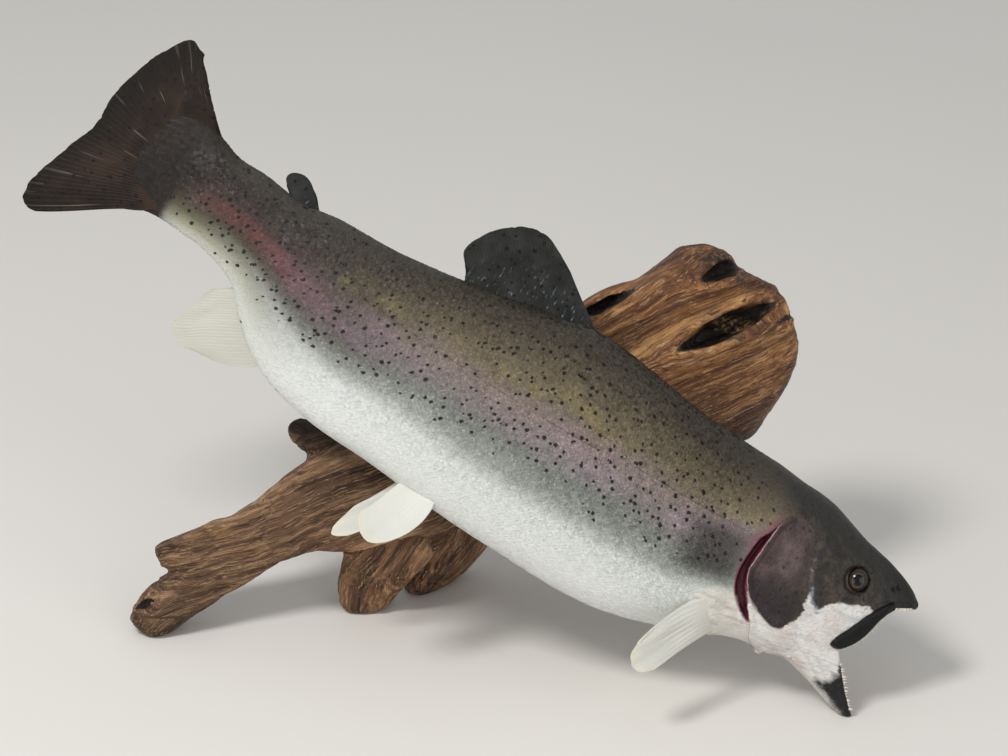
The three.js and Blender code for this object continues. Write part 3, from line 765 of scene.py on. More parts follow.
def trout_skin():
    """The paint of the skin, its scales and the plates of the head. It reads the places kept
    on their points: fish is (s, w, h) in metres, lie is (s in metres, fall, depth in the
    mouth), and each zone is a distance in millimetres, above zero inside its outline."""
    f = Finish("trout_paint", Specular_IOR_Level=0.3, Coat_Weight=0.1, Coat_Roughness=0.3)
    fish = f.kept("fish", vector=True)
    along, drop, inner = f.parts(f.kept("lie", vector=True))
    height = f.parts(fish)[2]
    ragged = f.noise(fish, 260, 3, 0.6)
    mottle = f.noise(fish, 62, 4, 0.62)

    def edge(zone, low, high, wander=1.6):
        moved = f.kept(zone) + (ragged * (2 * wander) - wander)
        return f.fade(moved, low, high)

    colour = flesh_colour(f, fish, drop)

    # The head: dark olive brown, darkest on the crown and snout, purple on the gill cover.
    blotch = mottle * 0.5 + f.noise(fish, 170, 5, 0.7) * 0.5
    head = f.ramp(blotch, [(0.36, "#1a1713"), (0.5, "#2e2822"), (0.62, "#4e4236")])
    head = f.mix(f.fade(drop, 0.24, 0.08), head, "#262420")
    head = f.mix(f.fade(along, 0.036, 0.010), head, "#171512")
    plum = f.ramp(f.noise(fish, 70, 5, 0.68),
                  [(0.34, "#332828"), (0.5, "#4a3b39"), (0.64, "#62504c")])
    plum = f.mix(f.fade(height, 0.004, -0.026), plum, "#2a2023")
    on_cover = edge("cover", -3.0, 2.0) * f.fade(along, 0.074, 0.1)
    head = f.mix(on_cover, head, plum)
    field = jittered(f, f.kept("sheet", vector=True), 420, 0.0022)
    near, lot = f.cells(field, 150)
    freckle = f.fade(lot[0] * 0.08 + 0.11 - near, -0.02, 0.04) * (lot[1] > 0.66)
    head = f.mix(freckle * 0.85, head, "#0f0d0b")
    radius = f.kept("eye") + (ragged * 0.8 - 0.4)
    head = f.mix(f.fade(radius, 9.9, 8.5, 0.0, 0.75), head, "#15110d")
    head = f.mix(f.fade(radius, 8.0, 7.4), head,
                 f.mix(f.noise(fish, 420, 3), "#2a211a", "#5a4a39"))
    # The nostril pits are painted near black: painted shade in them.
    nostril_shade = ragged * 1.6 + f.kept("nostril")
    head = f.mix(f.fade(nostril_shade, 3.4, 2.0), head, "#050404")
    neck = along + (mottle * 0.03 - 0.015)
    neck = neck + f.fade(drop, 0.3, 0.0, 0.0, -0.02)
    on_head = f.most(f.fade(neck, 0.118, 0.088), edge("cover", -1.5, 0.5, 1.0))
    colour = f.mix(on_head, colour, head)

    # The white of the cheek and throat, flushed with pink and streaked with shade.
    hue = f.noise(f.scaled(fish, (1, 1, 1), (0, 0.9, 0)), 54, 4, 0.6)
    white = f.ramp(hue, [(0.28, "#cdb8b0"), (0.42, "#d3cdc6"), (0.58, "#dbd9d3"),
                         (0.75, "#c2cbce")])
    streaky = f.noise(f.scaled(fish, (0.16, 0.4, 1), (0, 0.85, 0)), 300, 4, 0.62)
    white = f.mix(f.fade(streaky, 0.46, 0.68, 0.0, 0.38), white, "#9d9796")
    below_head = f.fade(along, 0.135, 0.118)
    brushed = f.kept("white_face") + (streaky * 7.0 - 3.5)
    brushed = brushed + (ragged * 3.0 - 1.5)
    colour = f.mix(f.fade(brushed, -0.9, 1.1) * below_head, colour, white)

    # The streak before the gill cover: blue low down and pink above, with a painted highlight in
    # pale flecks along it.
    streak = f.fade(f.kept("streak") + (ragged * 2.4 - 1.2), 2.6, 0.4)
    streak_tint_and_highlight = f.mix(f.fade(height, -0.002, -0.009), "#6d5a58", "#8a93a3")
    # Near-white flecks along the streak: painted highlight.
    streak_tint_and_highlight = f.mix(f.fade(streaky, 0.52, 0.66), streak_tint_and_highlight, "#d3d8de")
    colour = f.mix(streak * f.fade(f.noise(fish, 300, 2), 0.3, 0.6, 0.1, 0.75), colour, streak_tint_and_highlight)

    # The crimson of the gill slit, the creamy shoulder, and the black of lip and jaw tip.
    flush = edge("slit", -8.0, -0.5, 2.4) * f.fade(height, -0.01, 0.014)
    colour = f.mix(flush * 0.6, colour, "#703a47")
    deep = f.ramp(f.kept("slit"), [(0.0, "#7a2c42"), (0.2, "#5f152b"), (1.0, "#3c0b1b")])
    deep_share = edge("slit", -1.6, 0.6, 1.4) * f.fade(height, 0.026, 0.019)
    colour = f.mix(deep_share, colour, deep)
    shoulder = f.mix(f.fade(streaky, 0.46, 0.72), "#d0ccc1", "#b3aba1")
    colour = f.mix(edge("shoulder", -3, 2, 2.0) * 0.9, colour, shoulder)
    colour = f.mix(edge("snout", -0.6, 0.8, 0.8), colour, "#0f0e0c")
    colour = f.mix(edge("jaw_tip", -3.6, 2.0, 2.6), colour, "#0e0e0c")
    crack = f.fade(abs(edge("root_edge", -4.0, 4.0, 1.2)), 0.62, 0.5)
    crack = crack * f.fade(f.noise(fish, 200, 3, 0.7), 0.5, 0.58)
    colour = f.mix(crack * f.fade(along, 0.612, 0.625, 0.0, 0.8), colour, "#8d8177")
    lining = f.mix(ragged, "#c9a196", "#e0cdc0")
    colour = f.mix(f.fade(inner, 1.2, 3.0), colour, lining)

    # A thin pale rim round the free edge of a plate.
    rim = f.kept("rim") + (ragged * 1.2 - 0.6)
    rim = f.fade(rim, 1.0, 0.3) * f.kept("free")
    colour = f.mix(rim * f.fade(height, 0.03, 0.02, 0.15, 0.9), colour, "#bfa59f")
    f.paint(colour)

    grain = f.noise(fish, 1100, 2, 0.6)
    rough_skin = grain * 0.8 + f.noise(fish, 420, 2, 0.5) * 1.6
    wrinkles = streaky * (edge("white_face", -1.0, 1.5) * f.fade(along, 0.15, 0.12, 0.0, 2.4))
    leather = f.noise(fish, 190, 5, 0.7) * (on_head * 4.0)
    f.bump(rough_skin + (wrinkles + leather), 0.0008, 0.8)
    dull = f.fade(along, 0.46, 0.60, 0.0, 0.25)
    f.feed(f.shader, "Roughness", dull + f.fade(ragged, 0.3, 0.75, 0.36, 0.58))
    return f.material


def plain_finish(name, first, second, scale, roughness, bump=0.0003, **sockets):
    f = Finish(name, Roughness=roughness, **sockets)
    place = f.place()
    f.paint(f.mix(f.noise(place, scale, 4, 0.6), first, second))
    if bump:
        f.bump(f.noise(place, scale * 6, 4, 0.6), bump, 0.6)
    return f.material


# ---- The skin -----------------------------------------------------------------------------

HEAD_CLOSENESS = 2.9
VOXEL = 2.55
STRETCH_S = np.linspace(-40, 760, 1601)
STRETCH = HEAD_CLOSENESS - (HEAD_CLOSENESS - 1) * rise(STRETCH_S, 128, 172)
STRETCH += 1.3 * rise(STRETCH_S, 588, 612)
STRETCH_X = np.r_[0, np.cumsum((STRETCH[1:] + STRETCH[:-1]) / 2 * np.diff(STRETCH_S))]
COAT_DEPTH = 0.35  # how far the skin lies under the coat of scales


def stretched(points):
    size = np.interp(points[:, 0], STRETCH_S, STRETCH)
    x = np.interp(points[:, 0], STRETCH_S, STRETCH_X)
    return rows(x, points[:, 1] * size, points[:, 2] * size)


def unstretched(points):
    s = np.interp(points[:, 0], STRETCH_X, STRETCH_S)
    size = np.interp(s, STRETCH_S, STRETCH)
    return rows(s, points[:, 1] / size, points[:, 2] / size)


def ringed(name, sides, stations, ring_at):
    """A closed body of rings: a ball whose rings are set out one by one."""
    rings = len(stations) - 1
    bpy.ops.mesh.primitive_uv_sphere_add(segments=sides, ring_count=rings)
    piece = named(name)
    ball = points_of(piece)
    row = np.rint(np.arccos(np.clip(ball[:, 2], -1, 1)) / math.pi * rings).astype(int)
    angle = np.arctan2(ball[:, 1], ball[:, 0])
    ends = (row == 0) | (row == rings)
    points = ring_at(np.asarray(stations)[row], angle, ends)
    set_points(piece, points)
    face_outwards(piece)
    return piece


def body_ring(s, angle, ends):
    level, above, below, half = section(s)
    w, h = oval(angle, half, above, below)
    return rows(s, np.where(ends, 0, w), level + np.where(ends, 0, h))


def mouth_ring(s, angle, ends):
    palate, floor, half = (read(MOUTH, s, column) for column in (1, 2, 3))
    w, h = oval(angle, half, (palate - floor) / 2, (palate - floor) / 2)
    return rows(s, np.where(ends, 0, w), (palate + floor) / 2 + np.where(ends, 0, h))


def plank(name, outline, near, far):
    """A flat outline on the side, drawn through the fish."""
    bpy.ops.mesh.primitive_circle_add(vertices=len(outline), fill_type="NGON")
    piece = named(name)
    outline = np.asarray(outline, float)
    set_points(piece, rows(outline[:, 0], near, outline[:, 1]))
    bpy.ops.object.mode_set(mode="EDIT")
    bpy.ops.mesh.select_all(action="SELECT")
    bpy.ops.mesh.extrude_region_move(TRANSFORM_OT_translate={"value": (0, far - near, 0)})
    face_outwards(piece)
    return piece


def around_eye(s, h):
    return np.hypot(s - EYE[0], (h - EYE[1]) * 0.94)


LATERAL_CURVE = smooth_line(LATERAL_LINE, 6)


def relief(points, with_slit=True):
    """How far the worked surface stands over the plain body, in millimetres."""
    s, w, h = points.T
    on_side = rise(np.abs(w), 3, 9)
    on_body = rise(s, 118, 140)
    height = on_body * (0.35 * waver(points * [0.6, 1, 1], 24, 3, 2)) - COAT_DEPTH * on_body
    height += 0.12 * (1 - on_body) * waver(points, 7, 5, 3)

    radius = around_eye(s, h)
    orbit = -1.2 * bell(radius - 8.2, 1.3)
    orbit += 0.45 * bell(radius - 11.2, 1.6) * (1 + 0.6 * waver(points, 5, 13))
    height += orbit * on_side
    for nostril in NOSTRILS:
        gap = np.hypot(s - nostril[0], h - nostril[1])
        height += (0.15 * bell(gap - 2.2, 0.8) - 1.5 * bell(gap, 1.5)) * on_side

    # Creases of the cheek, the snout and the brow.
    for line, width, depth in (
        ([[97, 36], [88, 31], [83.5, 22.6], [79.8, 8.5], [78.6, 0], [76.2, -9], [72.6, -17],
          [67, -24]], 1.2, 0.45),
        ([[66, 17], [70, 8], [70.5, -2], [67, -10], [60, -14]], 0.9, 0.35),
        ([[60, 20], [52, 22.5], [42, 20.5], [34, 15]], 1.2, 0.35),
        ([[33, -2.5], [42, -7.5], [54, -9.5], [64, -13]], 0.9, 0.4),
        ([[24, 4], [29, 9], [32, 15]], 0.9, 0.3),
        ([[8, 1], [16, -1], [26, -4.5], [36, -12]], 0.8, 0.5),
    ):
        height += groove(line, s, h, width, depth) * on_side

    if with_slit:
        height -= 3.9 * rise(inside(GILL_SLIT, s, h), -0.4, 2.4) * on_side
    shoulder = inside(SHOULDER_PATCH, s, h)
    puckers = np.abs(waver(rows(s * 0.45 + h * 0.3, 0, h * 0.8 - s * 0.25), 3.2, 11, 2))
    height += (0.8 * rise(shoulder, -2, 4) - 0.9 * puckers * rise(shoulder, -3, 3)) * on_side

    # The fibres of the white cheek and the long streaks of the lower jaw.
    cheek_white = rise(inside(WHITE_FACE, s, h), -1, 4) * rise(s, 122, 110) * on_side
    lie = rows((s * 0.55 + h * 0.83) * 0.28, w * 0.1, s * 0.83 - h * 0.55)
    fibres = waver(lie, 2.6, 31, 2)
    height += 0.5 * fibres * cheek_white
    for line in (
        [[72, -42], [60, -52], [50, -62], [41, -76]],
        [[76, -46], [64, -56], [54, -65.5], [44, -76], [36, -85]],
        [[66, -40], [55, -48], [46.5, -58], [38, -72]],
    ):
        height += groove(line, s, h, 1.1, 0.8) * on_side
    height += 0.9 * bell(distance_to(smooth_line(STREAK, 8), s, h), 1.5) * on_side

    height -= 0.2 * bell(distance_to(LATERAL_CURVE, s, h), 0.8) * on_side
    rays = np.cos(h * 1.25) * 0.5 + 0.5 * waver(points * [0.2, 1, 1], 3, 41)
    height += 0.1 * rise(s, 598, 626) * rays
    fin_root = distance_to(smooth_line([[138, -33], [133, -47], [129, -59]], 6), s, h)
    height += 2.0 * bell(fin_root, 6.5) * on_side
    return height


# The outlines that the paint follows.
OUTLINES = {"slit": GILL_SLIT, "shoulder": SHOULDER_PATCH, "jaw_tip": JAW_TIP,
            "snout": SNOUT_LIP, "cover": GILL_COVER}


def zones(points):
    """What the paint reads at each point."""
    s, _, h = points.T
    depth, _ = depth_and_way(points)
    return {
        "fish": points * MM,
        "lie": rows(s * MM, fall(points), -depth),
        "sheet": rows(s, around(points), 0) * MM,
        "white_face": np.where(s > 132, -FAR, inside(WHITE_FACE, s, h)).clip(-FAR, FAR),
        "root_edge": np.where(s > 580, inside(TAIL_FLESH, s, h), FAR).clip(-FAR, FAR),
        **{name: inside(outline, s, h).clip(-FAR, FAR) for name, outline in OUTLINES.items()},
        "line": distance_to(LATERAL_CURVE, s, h).clip(0, FAR),
        "streak": distance_to(smooth_line(STREAK, 8), s, h).clip(0, FAR),
        "eye": around_eye(s, h).clip(0, 14),
        "nostril": np.min([np.hypot(s - x, h - y) for x, y in NOSTRILS], axis=0).clip(0, FAR),
    }


def keep_zones(piece, points):
    for name, values in zones(points).items():
        keep(piece, name, values)


def eye_socket(side):
    bpy.ops.mesh.primitive_uv_sphere_add(segments=48, ring_count=32, radius=EYE_RADIUS + 0.15,
                                         location=(EYE[0], side * EYE_DEPTH, EYE[1]))
    return named("socket")


def make_skin():
    stations = np.r_[0, np.linspace(0, 128, 92), np.linspace(131, FLESH_END, 170), FLESH_END]
    skin = ringed("trout_skin", 144, stations, body_ring)
    cut_away(skin, plank("gape", GAPE, -80, 80))
    hollow_stations = np.r_[13, np.linspace(13, 98, 40), 98]
    cut_away(skin, ringed("hollow", 48, hollow_stations, mouth_ring))
    for side in (1, -1):
        cut_away(skin, eye_socket(side))
    set_points(skin, stretched(points_of(skin)))
    modify(skin, "REMESH", mode="VOXEL", voxel_size=VOXEL)
    points = unstretched(points_of(skin))

    # The lips are eased, and the rest goes back onto the body's true surface.
    edges = edges_of(skin)
    lip = distance_to(np.array(GAPE, float), points[:, 0], points[:, 2])
    depth, way = depth_and_way(points)
    rim = around_eye(points[:, 0], points[:, 2])
    off = np.maximum(rise(lip, 2.2, 0.9), rise(np.abs(depth), 0.5, 1.1))
    points = relaxed(points, edges, 0.5 * np.maximum(off, 0.15), 4)
    for _ in range(3):
        depth, way = depth_and_way(points)
        held = rise(np.abs(depth), 1.3, 0.7) * rise(lip, 0.8, 2.0) * np.where(rim < 8.6, 0, 1)
        points = points - way * (depth * held)[:, None]
    depth, way = depth_and_way(points)
    outer = rise(np.abs(depth), 1.6, 0.8)
    keep_zones(skin, points)
    points = points + way * (relief(points) * outer)[:, None]
    set_points(skin, bent(points))
    smooth_faces(skin)
    return skin


# ---- The scales ---------------------------------------------------------------------------

SCALE_STEP = 1.65
SCALE_PITCH = 2.95
SCALE_LENGTH = 3.1
SCALE_GRID = (4, 3)


def surface_points(s, side, arc):
    """Points of the body's side at an arc from its widest level, up (above 0) or down."""
    at = np.clip(s / FLESH_END * SPANS, 0, SPANS - JUST_UNDER)
    row = at.astype(int)
    share = at - row
    found = np.zeros((len(s), 2))
    order = np.argsort(row, kind="stable")
    starts = np.searchsorted(row[order], np.arange(SPANS + 2))
    for k in range(SPANS):
        these = order[starts[k]:starts[k + 1]]
        if len(these) == 0:
            continue
        for station, weight in ((k, 1 - share[these]), (k + 1, share[these])):
            found[these, 0] += weight * np.interp(arc[these], ARCS[station], RING_W[station])
            found[these, 1] += weight * np.interp(arc[these], ARCS[station], RING_H[station])
    reach = (np.interp(s, STATIONS, ARCS[:, 0]), np.interp(s, STATIONS, ARCS[:, -1]))
    return rows(s, side * found[:, 0], found[:, 1]), reach


def scale_roots():
    """Where the scales grow on one side: s and the arc from the widest level."""
    columns = np.arange(122, 641, SCALE_STEP)
    s, arc = [], []
    for number, at in enumerate(columns):
        rows = np.arange(-50, 50) * SCALE_PITCH + (SCALE_PITCH / 2 if number % 2 else 0)
        s.append(np.full(len(rows), at))
        arc.append(rows)
    return np.concatenate(s), np.concatenate(arc)


def make_coat(side, name, first, last):
    s, arc = scale_roots()
    chosen = (s >= first) & (s < last)
    s, arc = s[chosen], arc[chosen]
    cell = rows(s, arc, side * 7.0)
    s, arc = s + 0.7 * waver(cell, 1.7, 51), arc + 0.8 * waver(cell, 1.9, 52)
    s, arc = s + 1.2 * waver(cell, 26, 53), arc + 2.2 * waver(cell, 30, 54)
    roots, (low, high) = surface_points(s, side, arc)
    bare = (inside(GILL_SLIT, s, roots[:, 2]) > -1.5) | (inside(GILL_COVER, s, roots[:, 2]) > -1)
    bare |= inside(SHOULDER_PATCH, s, roots[:, 2]) > 1.0
    bare |= (arc < low + 0.6) | (arc > high - 0.2) | (s > 638)
    bare |= inside(WHITE_FACE, s, roots[:, 2]) > 0
    s, arc = s[~bare], arc[~bare]
    low, high = low[~bare], high[~bare]

    across, deep = SCALE_GRID
    u = np.linspace(-1, 1, across)
    v = np.linspace(0, 1, deep)
    uu, vv = np.meshgrid(u, v, indexing="ij")
    rear = 1 - 0.42 * uu ** 2
    along = SCALE_LENGTH * (vv * rear + 0.16 * uu ** 2 * (1 - vv))
    wide = SCALE_PITCH * 0.54 * uu * (0.82 + 0.18 * np.sin(vv * math.pi))
    lift = -0.2 + (1.15 * vv - 0.36 * vv ** 2) * (1 - 0.4 * uu ** 2)
    fall_share = (high - arc) / (high - low)
    strength = 0.16 + 1.15 * rise(fall_share, 0.86, 0.6)
    strength = strength * (1 - 0.85 * rise(s, 560, 618)) * (0.35 + 0.65 * rise(s, 124, 165))
    strength = strength * (0.45 + 0.55 * rise(fall_share, 0.04, 0.3))
    strength = strength * (1 - 0.35 * rise(s, 420, 540))
    cell = rows(np.rint(s * 7), np.rint(arc * 7), 0)
    lot, sideways, tilt = (hashed(cell, seed) for seed in (77, 78, 79))
    raised = strength * (0.4 + lot)
    sideways, tilt = strength * (sideways - 0.5), strength * (tilt - 0.5)
    shrink = 1 - 0.12 * rise(s, 520, 598)

    total = len(s)
    ss = (s[:, None] + along.ravel()[None] * shrink[:, None]).ravel()
    aa = (arc[:, None] + wide.ravel()[None] * shrink[:, None]).ravel()
    lifts = 0.08 + (lift.ravel()[None] * raised[:, None]
                    + uu.ravel()[None] * sideways[:, None] * 0.9
                    + (vv.ravel()[None] - 0.5) * tilt[:, None] * 0.9).ravel()
    flat, _ = surface_points(ss, side, aa)
    flat[:, 0] = ss
    _, way = depth_and_way(flat)
    points = flat + way * (relief(flat) + lifts)[:, None]

    # One scale's faces: its top as a grid and its underside as one face.
    per = across * deep
    top = [(i * deep + j, (i + 1) * deep + j, (i + 1) * deep + j + 1, i * deep + j + 1)
           for i in range(across - 1) for j in range(deep - 1)]
    border = ([i * deep for i in range(across)] + [(across - 1) * deep + j for j in range(1, deep)]
              + [i * deep + deep - 1 for i in range(across - 2, -1, -1)]
              + [j for j in range(deep - 2, 0, -1)])
    under = border[::-1]
    if side < 0:
        top = [face[::-1] for face in top]
        under = under[::-1]
    corners = np.array([c for face in top for c in face] + under)
    starts = np.r_[np.arange(len(top)) * 4, len(top) * 4]
    mesh = bpy.data.meshes.new(name)
    mesh.vertices.add(total * per)
    mesh.loops.add(total * len(corners))
    mesh.polygons.add(total * len(starts))
    loops = (corners[None] + per * np.arange(total)[:, None]).ravel()
    mesh.loops.foreach_set("vertex_index", loops)
    mesh.polygons.foreach_set(
        "loop_start", (starts[None] + len(corners) * np.arange(total)[:, None]).ravel())
    mesh.vertices.foreach_set("co", bent(points).ravel())
    mesh.update(calc_edges=True)
    mesh.validate()
    piece = bpy.data.objects.new(name, mesh)
    bpy.context.scene.collection.objects.link(piece)

    # The paint sees each scale where its root is, with a little of its own shape.
    rooted, _ = surface_points(s + 0.4 * SCALE_LENGTH, side, arc)
    rooted = np.repeat(rooted, per, axis=0)
    seen = rooted + 0.8 * (flat - rooted)
    keep_zones(piece, seen)
    layer = mesh.uv_layers.new(name="OFBake")
    middle = rows((s - first) / (last - first) * 0.98 + 0.01, 0.01 + 0.98 * fall_share)
    offset = rows((vv.ravel() - 0.5) * 0.003, uu.ravel() * 0.0015)
    uv = (middle[:, None] + offset[None]).reshape(-1, 2)
    layer.uv.foreach_set("vector", uv[loops].ravel())
    smooth_faces(piece, 50)
    return piece


# ---- Plates that lie on the skin ----------------------------------------------------------


def flap(name, side, outline, lift, thickness, wobble=0.0, rings=16, around_it=160):
    """A thin plate over the side of the head: a disc of rings, laid on the skin and given its
    thickness, with a rounded edge. lift and thickness are functions of s, h and the rim."""
    line = smooth_line(outline, 10, closed=True)
    line = np.vstack([line, line[:1]])
    edge = spaced(line, np.arange(around_it) / around_it)
    middle = edge.mean(axis=0)
    out = unit(edge - middle)
    nibble = waver(rows(edge[:, 0], 0, edge[:, 1]), 3.4, 63, 2)
    edge = edge + wobble * out * nibble[:, None]
    line = np.vstack([edge, edge[:1]])
    bpy.ops.mesh.primitive_uv_sphere_add(segments=around_it, ring_count=2 * rings)
    piece = named(name)
    ball = points_of(piece)
    row = np.rint(np.arccos(np.clip(ball[:, 2], -1, 1)) / math.pi * 2 * rings).astype(int)
    turn = np.arctan2(ball[:, 1], ball[:, 0]) / (2 * math.pi) * around_it
    turn = np.rint(turn).astype(int) % around_it
    reach = 1 - np.abs(row - rings) / rings
    place = middle + (edge[turn] - middle) * (np.maximum(reach, 0) ** 0.8)[:, None]
    is_top = row <= rings
    s, h = place[:, 0], place[:, 1]
    flat = rows(s, side * np.maximum(half_width(s, h), 0.9), h)
    rim = distance_to(line, s, h)
    _, way = depth_and_way(flat)
    # Below the belly a plate hangs free, and its thickness is sideways.
    hangs = rise(fullness(flat * [1, 0, 1]), 0.9, 1.0)[:, None]
    way = unit(way * (1 - hangs) + np.array([0.0, side, 0.0]) * hangs)
    thick = thickness(s, h, rim) * np.sqrt(np.clip(rim / 0.8, 0, 1))
    base = relief(flat, with_slit=False) + lift(s, h, rim)
    points = flat + way * (base + np.where(is_top, thick / 2, -thick / 2))[:, None]
    keep_zones(piece, flat)
    keep(piece, "rim", np.where(is_top, rim, 9.0))
    set_points(piece, bent(points))
    face_outwards(piece)
    smooth_faces(piece)
    return piece, s, h


def set_kept(piece, name, values):
    piece.data.attributes[name].data.foreach_set("value", np.asarray(values, np.float32))


def half_width(s, h):
    level, above, below, half = section(s)
    share = np.minimum(np.where(h > level, (h - level) / above, (level - h) / below), 1)
    return half * (1 - share ** ROUNDNESS) ** (1 / ROUNDNESS)


FREE_EDGE = [
    [108, 33], [112.5, 28], [116.5, 18], [119.5, 5], [121.8, -5], [122.3, -13],
    [120, -21.5], [113.5, -30], [103, -37.5], [94, -42], [88, -42.5],
]
THROAT_EDGE = [
    [115, -31], [109, -41], [106, -46], [103, -54], [98.3, -61], [92, -65], [87, -62],
    [80, -62], [74, -62],
]


def make_gill_cover(side, name):
    edge = smooth_line(FREE_EDGE, 8)

    def free(s, h):
        return rise(distance_to(edge, s, h), 8, 2)

    def lift(s, h, rim):
        loose = free(s, h)
        hidden = rise(rim, 14, 0) * (1 - loose)
        ridges = 0.3 * waver(rows(s * 0.5, h * 0.25, 0), 3.0, 61, 2)
        dents = 0.35 * waver(rows(s, h, 0), 9.0, 62, 2)
        settled = rise(rim, 0, 4) * rise(s, 80, 96)
        return 0.1 - 1.9 * hidden + 1.6 * loose * rise(rim, 11, 0) + (ridges + dents) * settled

    piece, s, h = flap(name, side, GILL_COVER, lift, lambda *place: 1.3, 0.7)
    keep(piece, "free", free(s, h))
    set_kept(piece, "white_face", np.full(len(s), -4.0))
    set_kept(piece, "slit", np.full(len(s), -20.0))
    return piece


def make_throat_flap(side, name):
    edge = smooth_line(THROAT_EDGE, 8)

    def lift(s, h, rim):
        loose = rise(distance_to(edge, s, h), 7, 1.5)
        hidden = rise(rim, 8, 0) * (1 - loose)
        along, across = s * 0.86 + h * 0.5, h * 0.86 - s * 0.5
        folds = 0.75 * waver(rows(along * 0.22, across, 0), 3.4, 65, 2)
        folds += 0.3 * waver(rows(along * 0.3, across, 0), 1.5, 66, 2)
        return 0.3 - 2.1 * hidden + 1.0 * loose * rise(rim, 6, 0) + folds * rise(rim, 0, 3)

    piece, s, h = flap(name, side, MEMBRANE, lift, lambda *place: 1.1, 1.1)
    keep(piece, "free", 0.6 * rise(distance_to(edge, s, h), 7, 2))
    set_kept(piece, "white_face", np.full(len(s), 6.0))
    set_kept(piece, "slit", np.full(len(s), -20.0))
    set_kept(piece, "cover", np.full(len(s), -9.0))
    return piece


def make_maxilla(side, name):
    ridge = smooth_line([[19, -4], [29, -14], [38, -25], [46, -34.5], [50, -39.5]], 8)

    def lift(s, h, rim):
        return 1.6 + 0.5 * bell(distance_to(ridge, s, h), 1.5) - 0.6 * rise(rim, 2, 0)

    def thickness(s, h, rim):
        return 2.6 + 0.3 * waver(rows((s + h) * 0.2, s - h, 0), 2.2, 71, 2)

    return flap(name, side, MAXILLA, lift, thickness, 0.35, rings=10, around_it=120)[0]


# ---- The eyes, the teeth and the tongue ---------------------------------------------------


def make_eye(side, name):
    bpy.ops.mesh.primitive_uv_sphere_add(segments=64, ring_count=48, radius=EYE_RADIUS)
    eye = named(name)
    ball = points_of(eye)
    points = rows(ball[:, 0] + EYE[0], side * (ball[:, 2] + EYE_DEPTH), ball[:, 1] + EYE[1])
    out = np.clip(ball[:, 2], 0, None)
    points[:, 1] -= side * 0.06 * out
    keep(eye, "iris", ball)
    set_points(eye, bent(points))
    face_outwards(eye)
    smooth_faces(eye)
    return eye


def eye_finish():
    """A glass eye: a dark oval pupil in a thin bright ring, and a mottled brown iris."""
    f = Finish("glass_eye_paint", Roughness=0.12, Specular_IOR_Level=0.2, Coat_Weight=0.32,
               Coat_Roughness=0.02)
    iris = f.kept("iris", vector=True)
    x, y, _ = f.parts(iris)
    forward = f.most(x * -1.0, 0.0) * 0.1
    radius = ((x * 1.16) ** 2.0 + (y * 0.9) ** 2.0) ** 0.5
    radius = radius - forward
    mottle = f.noise(iris, 0.9, 4, 0.65)
    brown = f.ramp(mottle, [(0.3, "#1a1510"), (0.55, "#2c241c"), (0.75, "#43382b")])
    ring = f.mix(f.fade(mottle, 0.3, 0.7), "#3a2f24", "#55473a")
    uneven = radius + (mottle * 0.5 - 0.25)
    colour = f.mix(f.fade(uneven, 4.5, 5.0), ring, brown)
    colour = f.mix(f.fade(uneven, 3.7, 4.0), "#050403", colour)
    colour = f.mix(f.fade(uneven, 6.4, 7.6), colour, "#15110d")
    f.paint(colour)
    return f.material


# Rows of small curved teeth: the line they stand on, count, height, the way they point, and
# how far outside the skin they stand.
TEETH = {"snout_teeth": ([[4, -3.4], [16, -6]], 13, 3.4, [0.6, -6], -0.2),
         "maxilla_teeth": ([[21.2, -11.8], [25, -18.6], [30.2, -28], [36.2, -36.2],
                            [43.5, -42.6]], 23, 2.9, [-5, -4], 1.6),
         "jaw_teeth": ([[41.2, -51.5], [26.8, -82.5]], 21, 2.9, [-6, 1.6], -0.8)}


def make_teeth(name, row, sides=(1, -1)):
    line, count, height, towards, out = row
    line, towards = smooth_line(line, 8), np.array(towards, float)
    towards /= np.linalg.norm(towards)
    pieces = []
    for side in sides:
        for k in range(count):
            shift = 0.5 + 0.7 * (float(hashed(np.array([k, side, count]), 6)) - 0.5)
            place = spaced(line, [(k + shift) / count])[0]
            tall = height * (0.45 + 0.8 * float(hashed(np.array([k, side, count]), 5)))
            bpy.ops.mesh.primitive_cone_add(vertices=7, radius1=0.55, radius2=0.08, depth=1)
            tooth = bpy.context.object
            cone = points_of(tooth)
            t = cone[:, 2] + 0.5
            w = side * max(float(half_width(place[0], place[1])) + out, 1.2)
            points = rows(place[0] + towards[0] * (t * tall - 0.8) + cone[:, 0] + 0.7 * t ** 2,
                          w + cone[:, 1] - side * 0.5 * t ** 2,
                          place[1] + towards[1] * (t * tall - 0.8))
            if abs(towards[0]) > abs(towards[1]):
                points[:, 0] -= cone[:, 0]
                points[:, 2] += cone[:, 0]
            set_points(tooth, bent(points))
            pieces.append(tooth)
    joined = merged(name, pieces)
    face_outwards(joined)
    smooth_faces(joined)
    return joined


def make_tongue():
    def ring_at(s, angle, ends):
        t = (s - 42) / 42
        size = 0.3 + 0.7 * np.sin(math.pi * (0.15 + 0.7 * t))
        level = read(MOUTH, s, 2) + 2.0
        w = 8.6 * size * np.cos(angle)
        dent = np.where(np.sin(angle) > 0, 1 - 0.25 * bell(w, 1.6), 1)
        h = 3.8 * np.sin(angle) * dent
        return rows(s, np.where(ends, 0, w), level + np.where(ends, 0, h))
    tongue = ringed("tongue_flesh", 40, np.r_[42, np.linspace(42.2, 84, 30), 84], ring_at)
    set_points(tongue, bent(points_of(tongue)))
    smooth_faces(tongue)
    return tongue


# ---- The fins -----------------------------------------------------------------------------


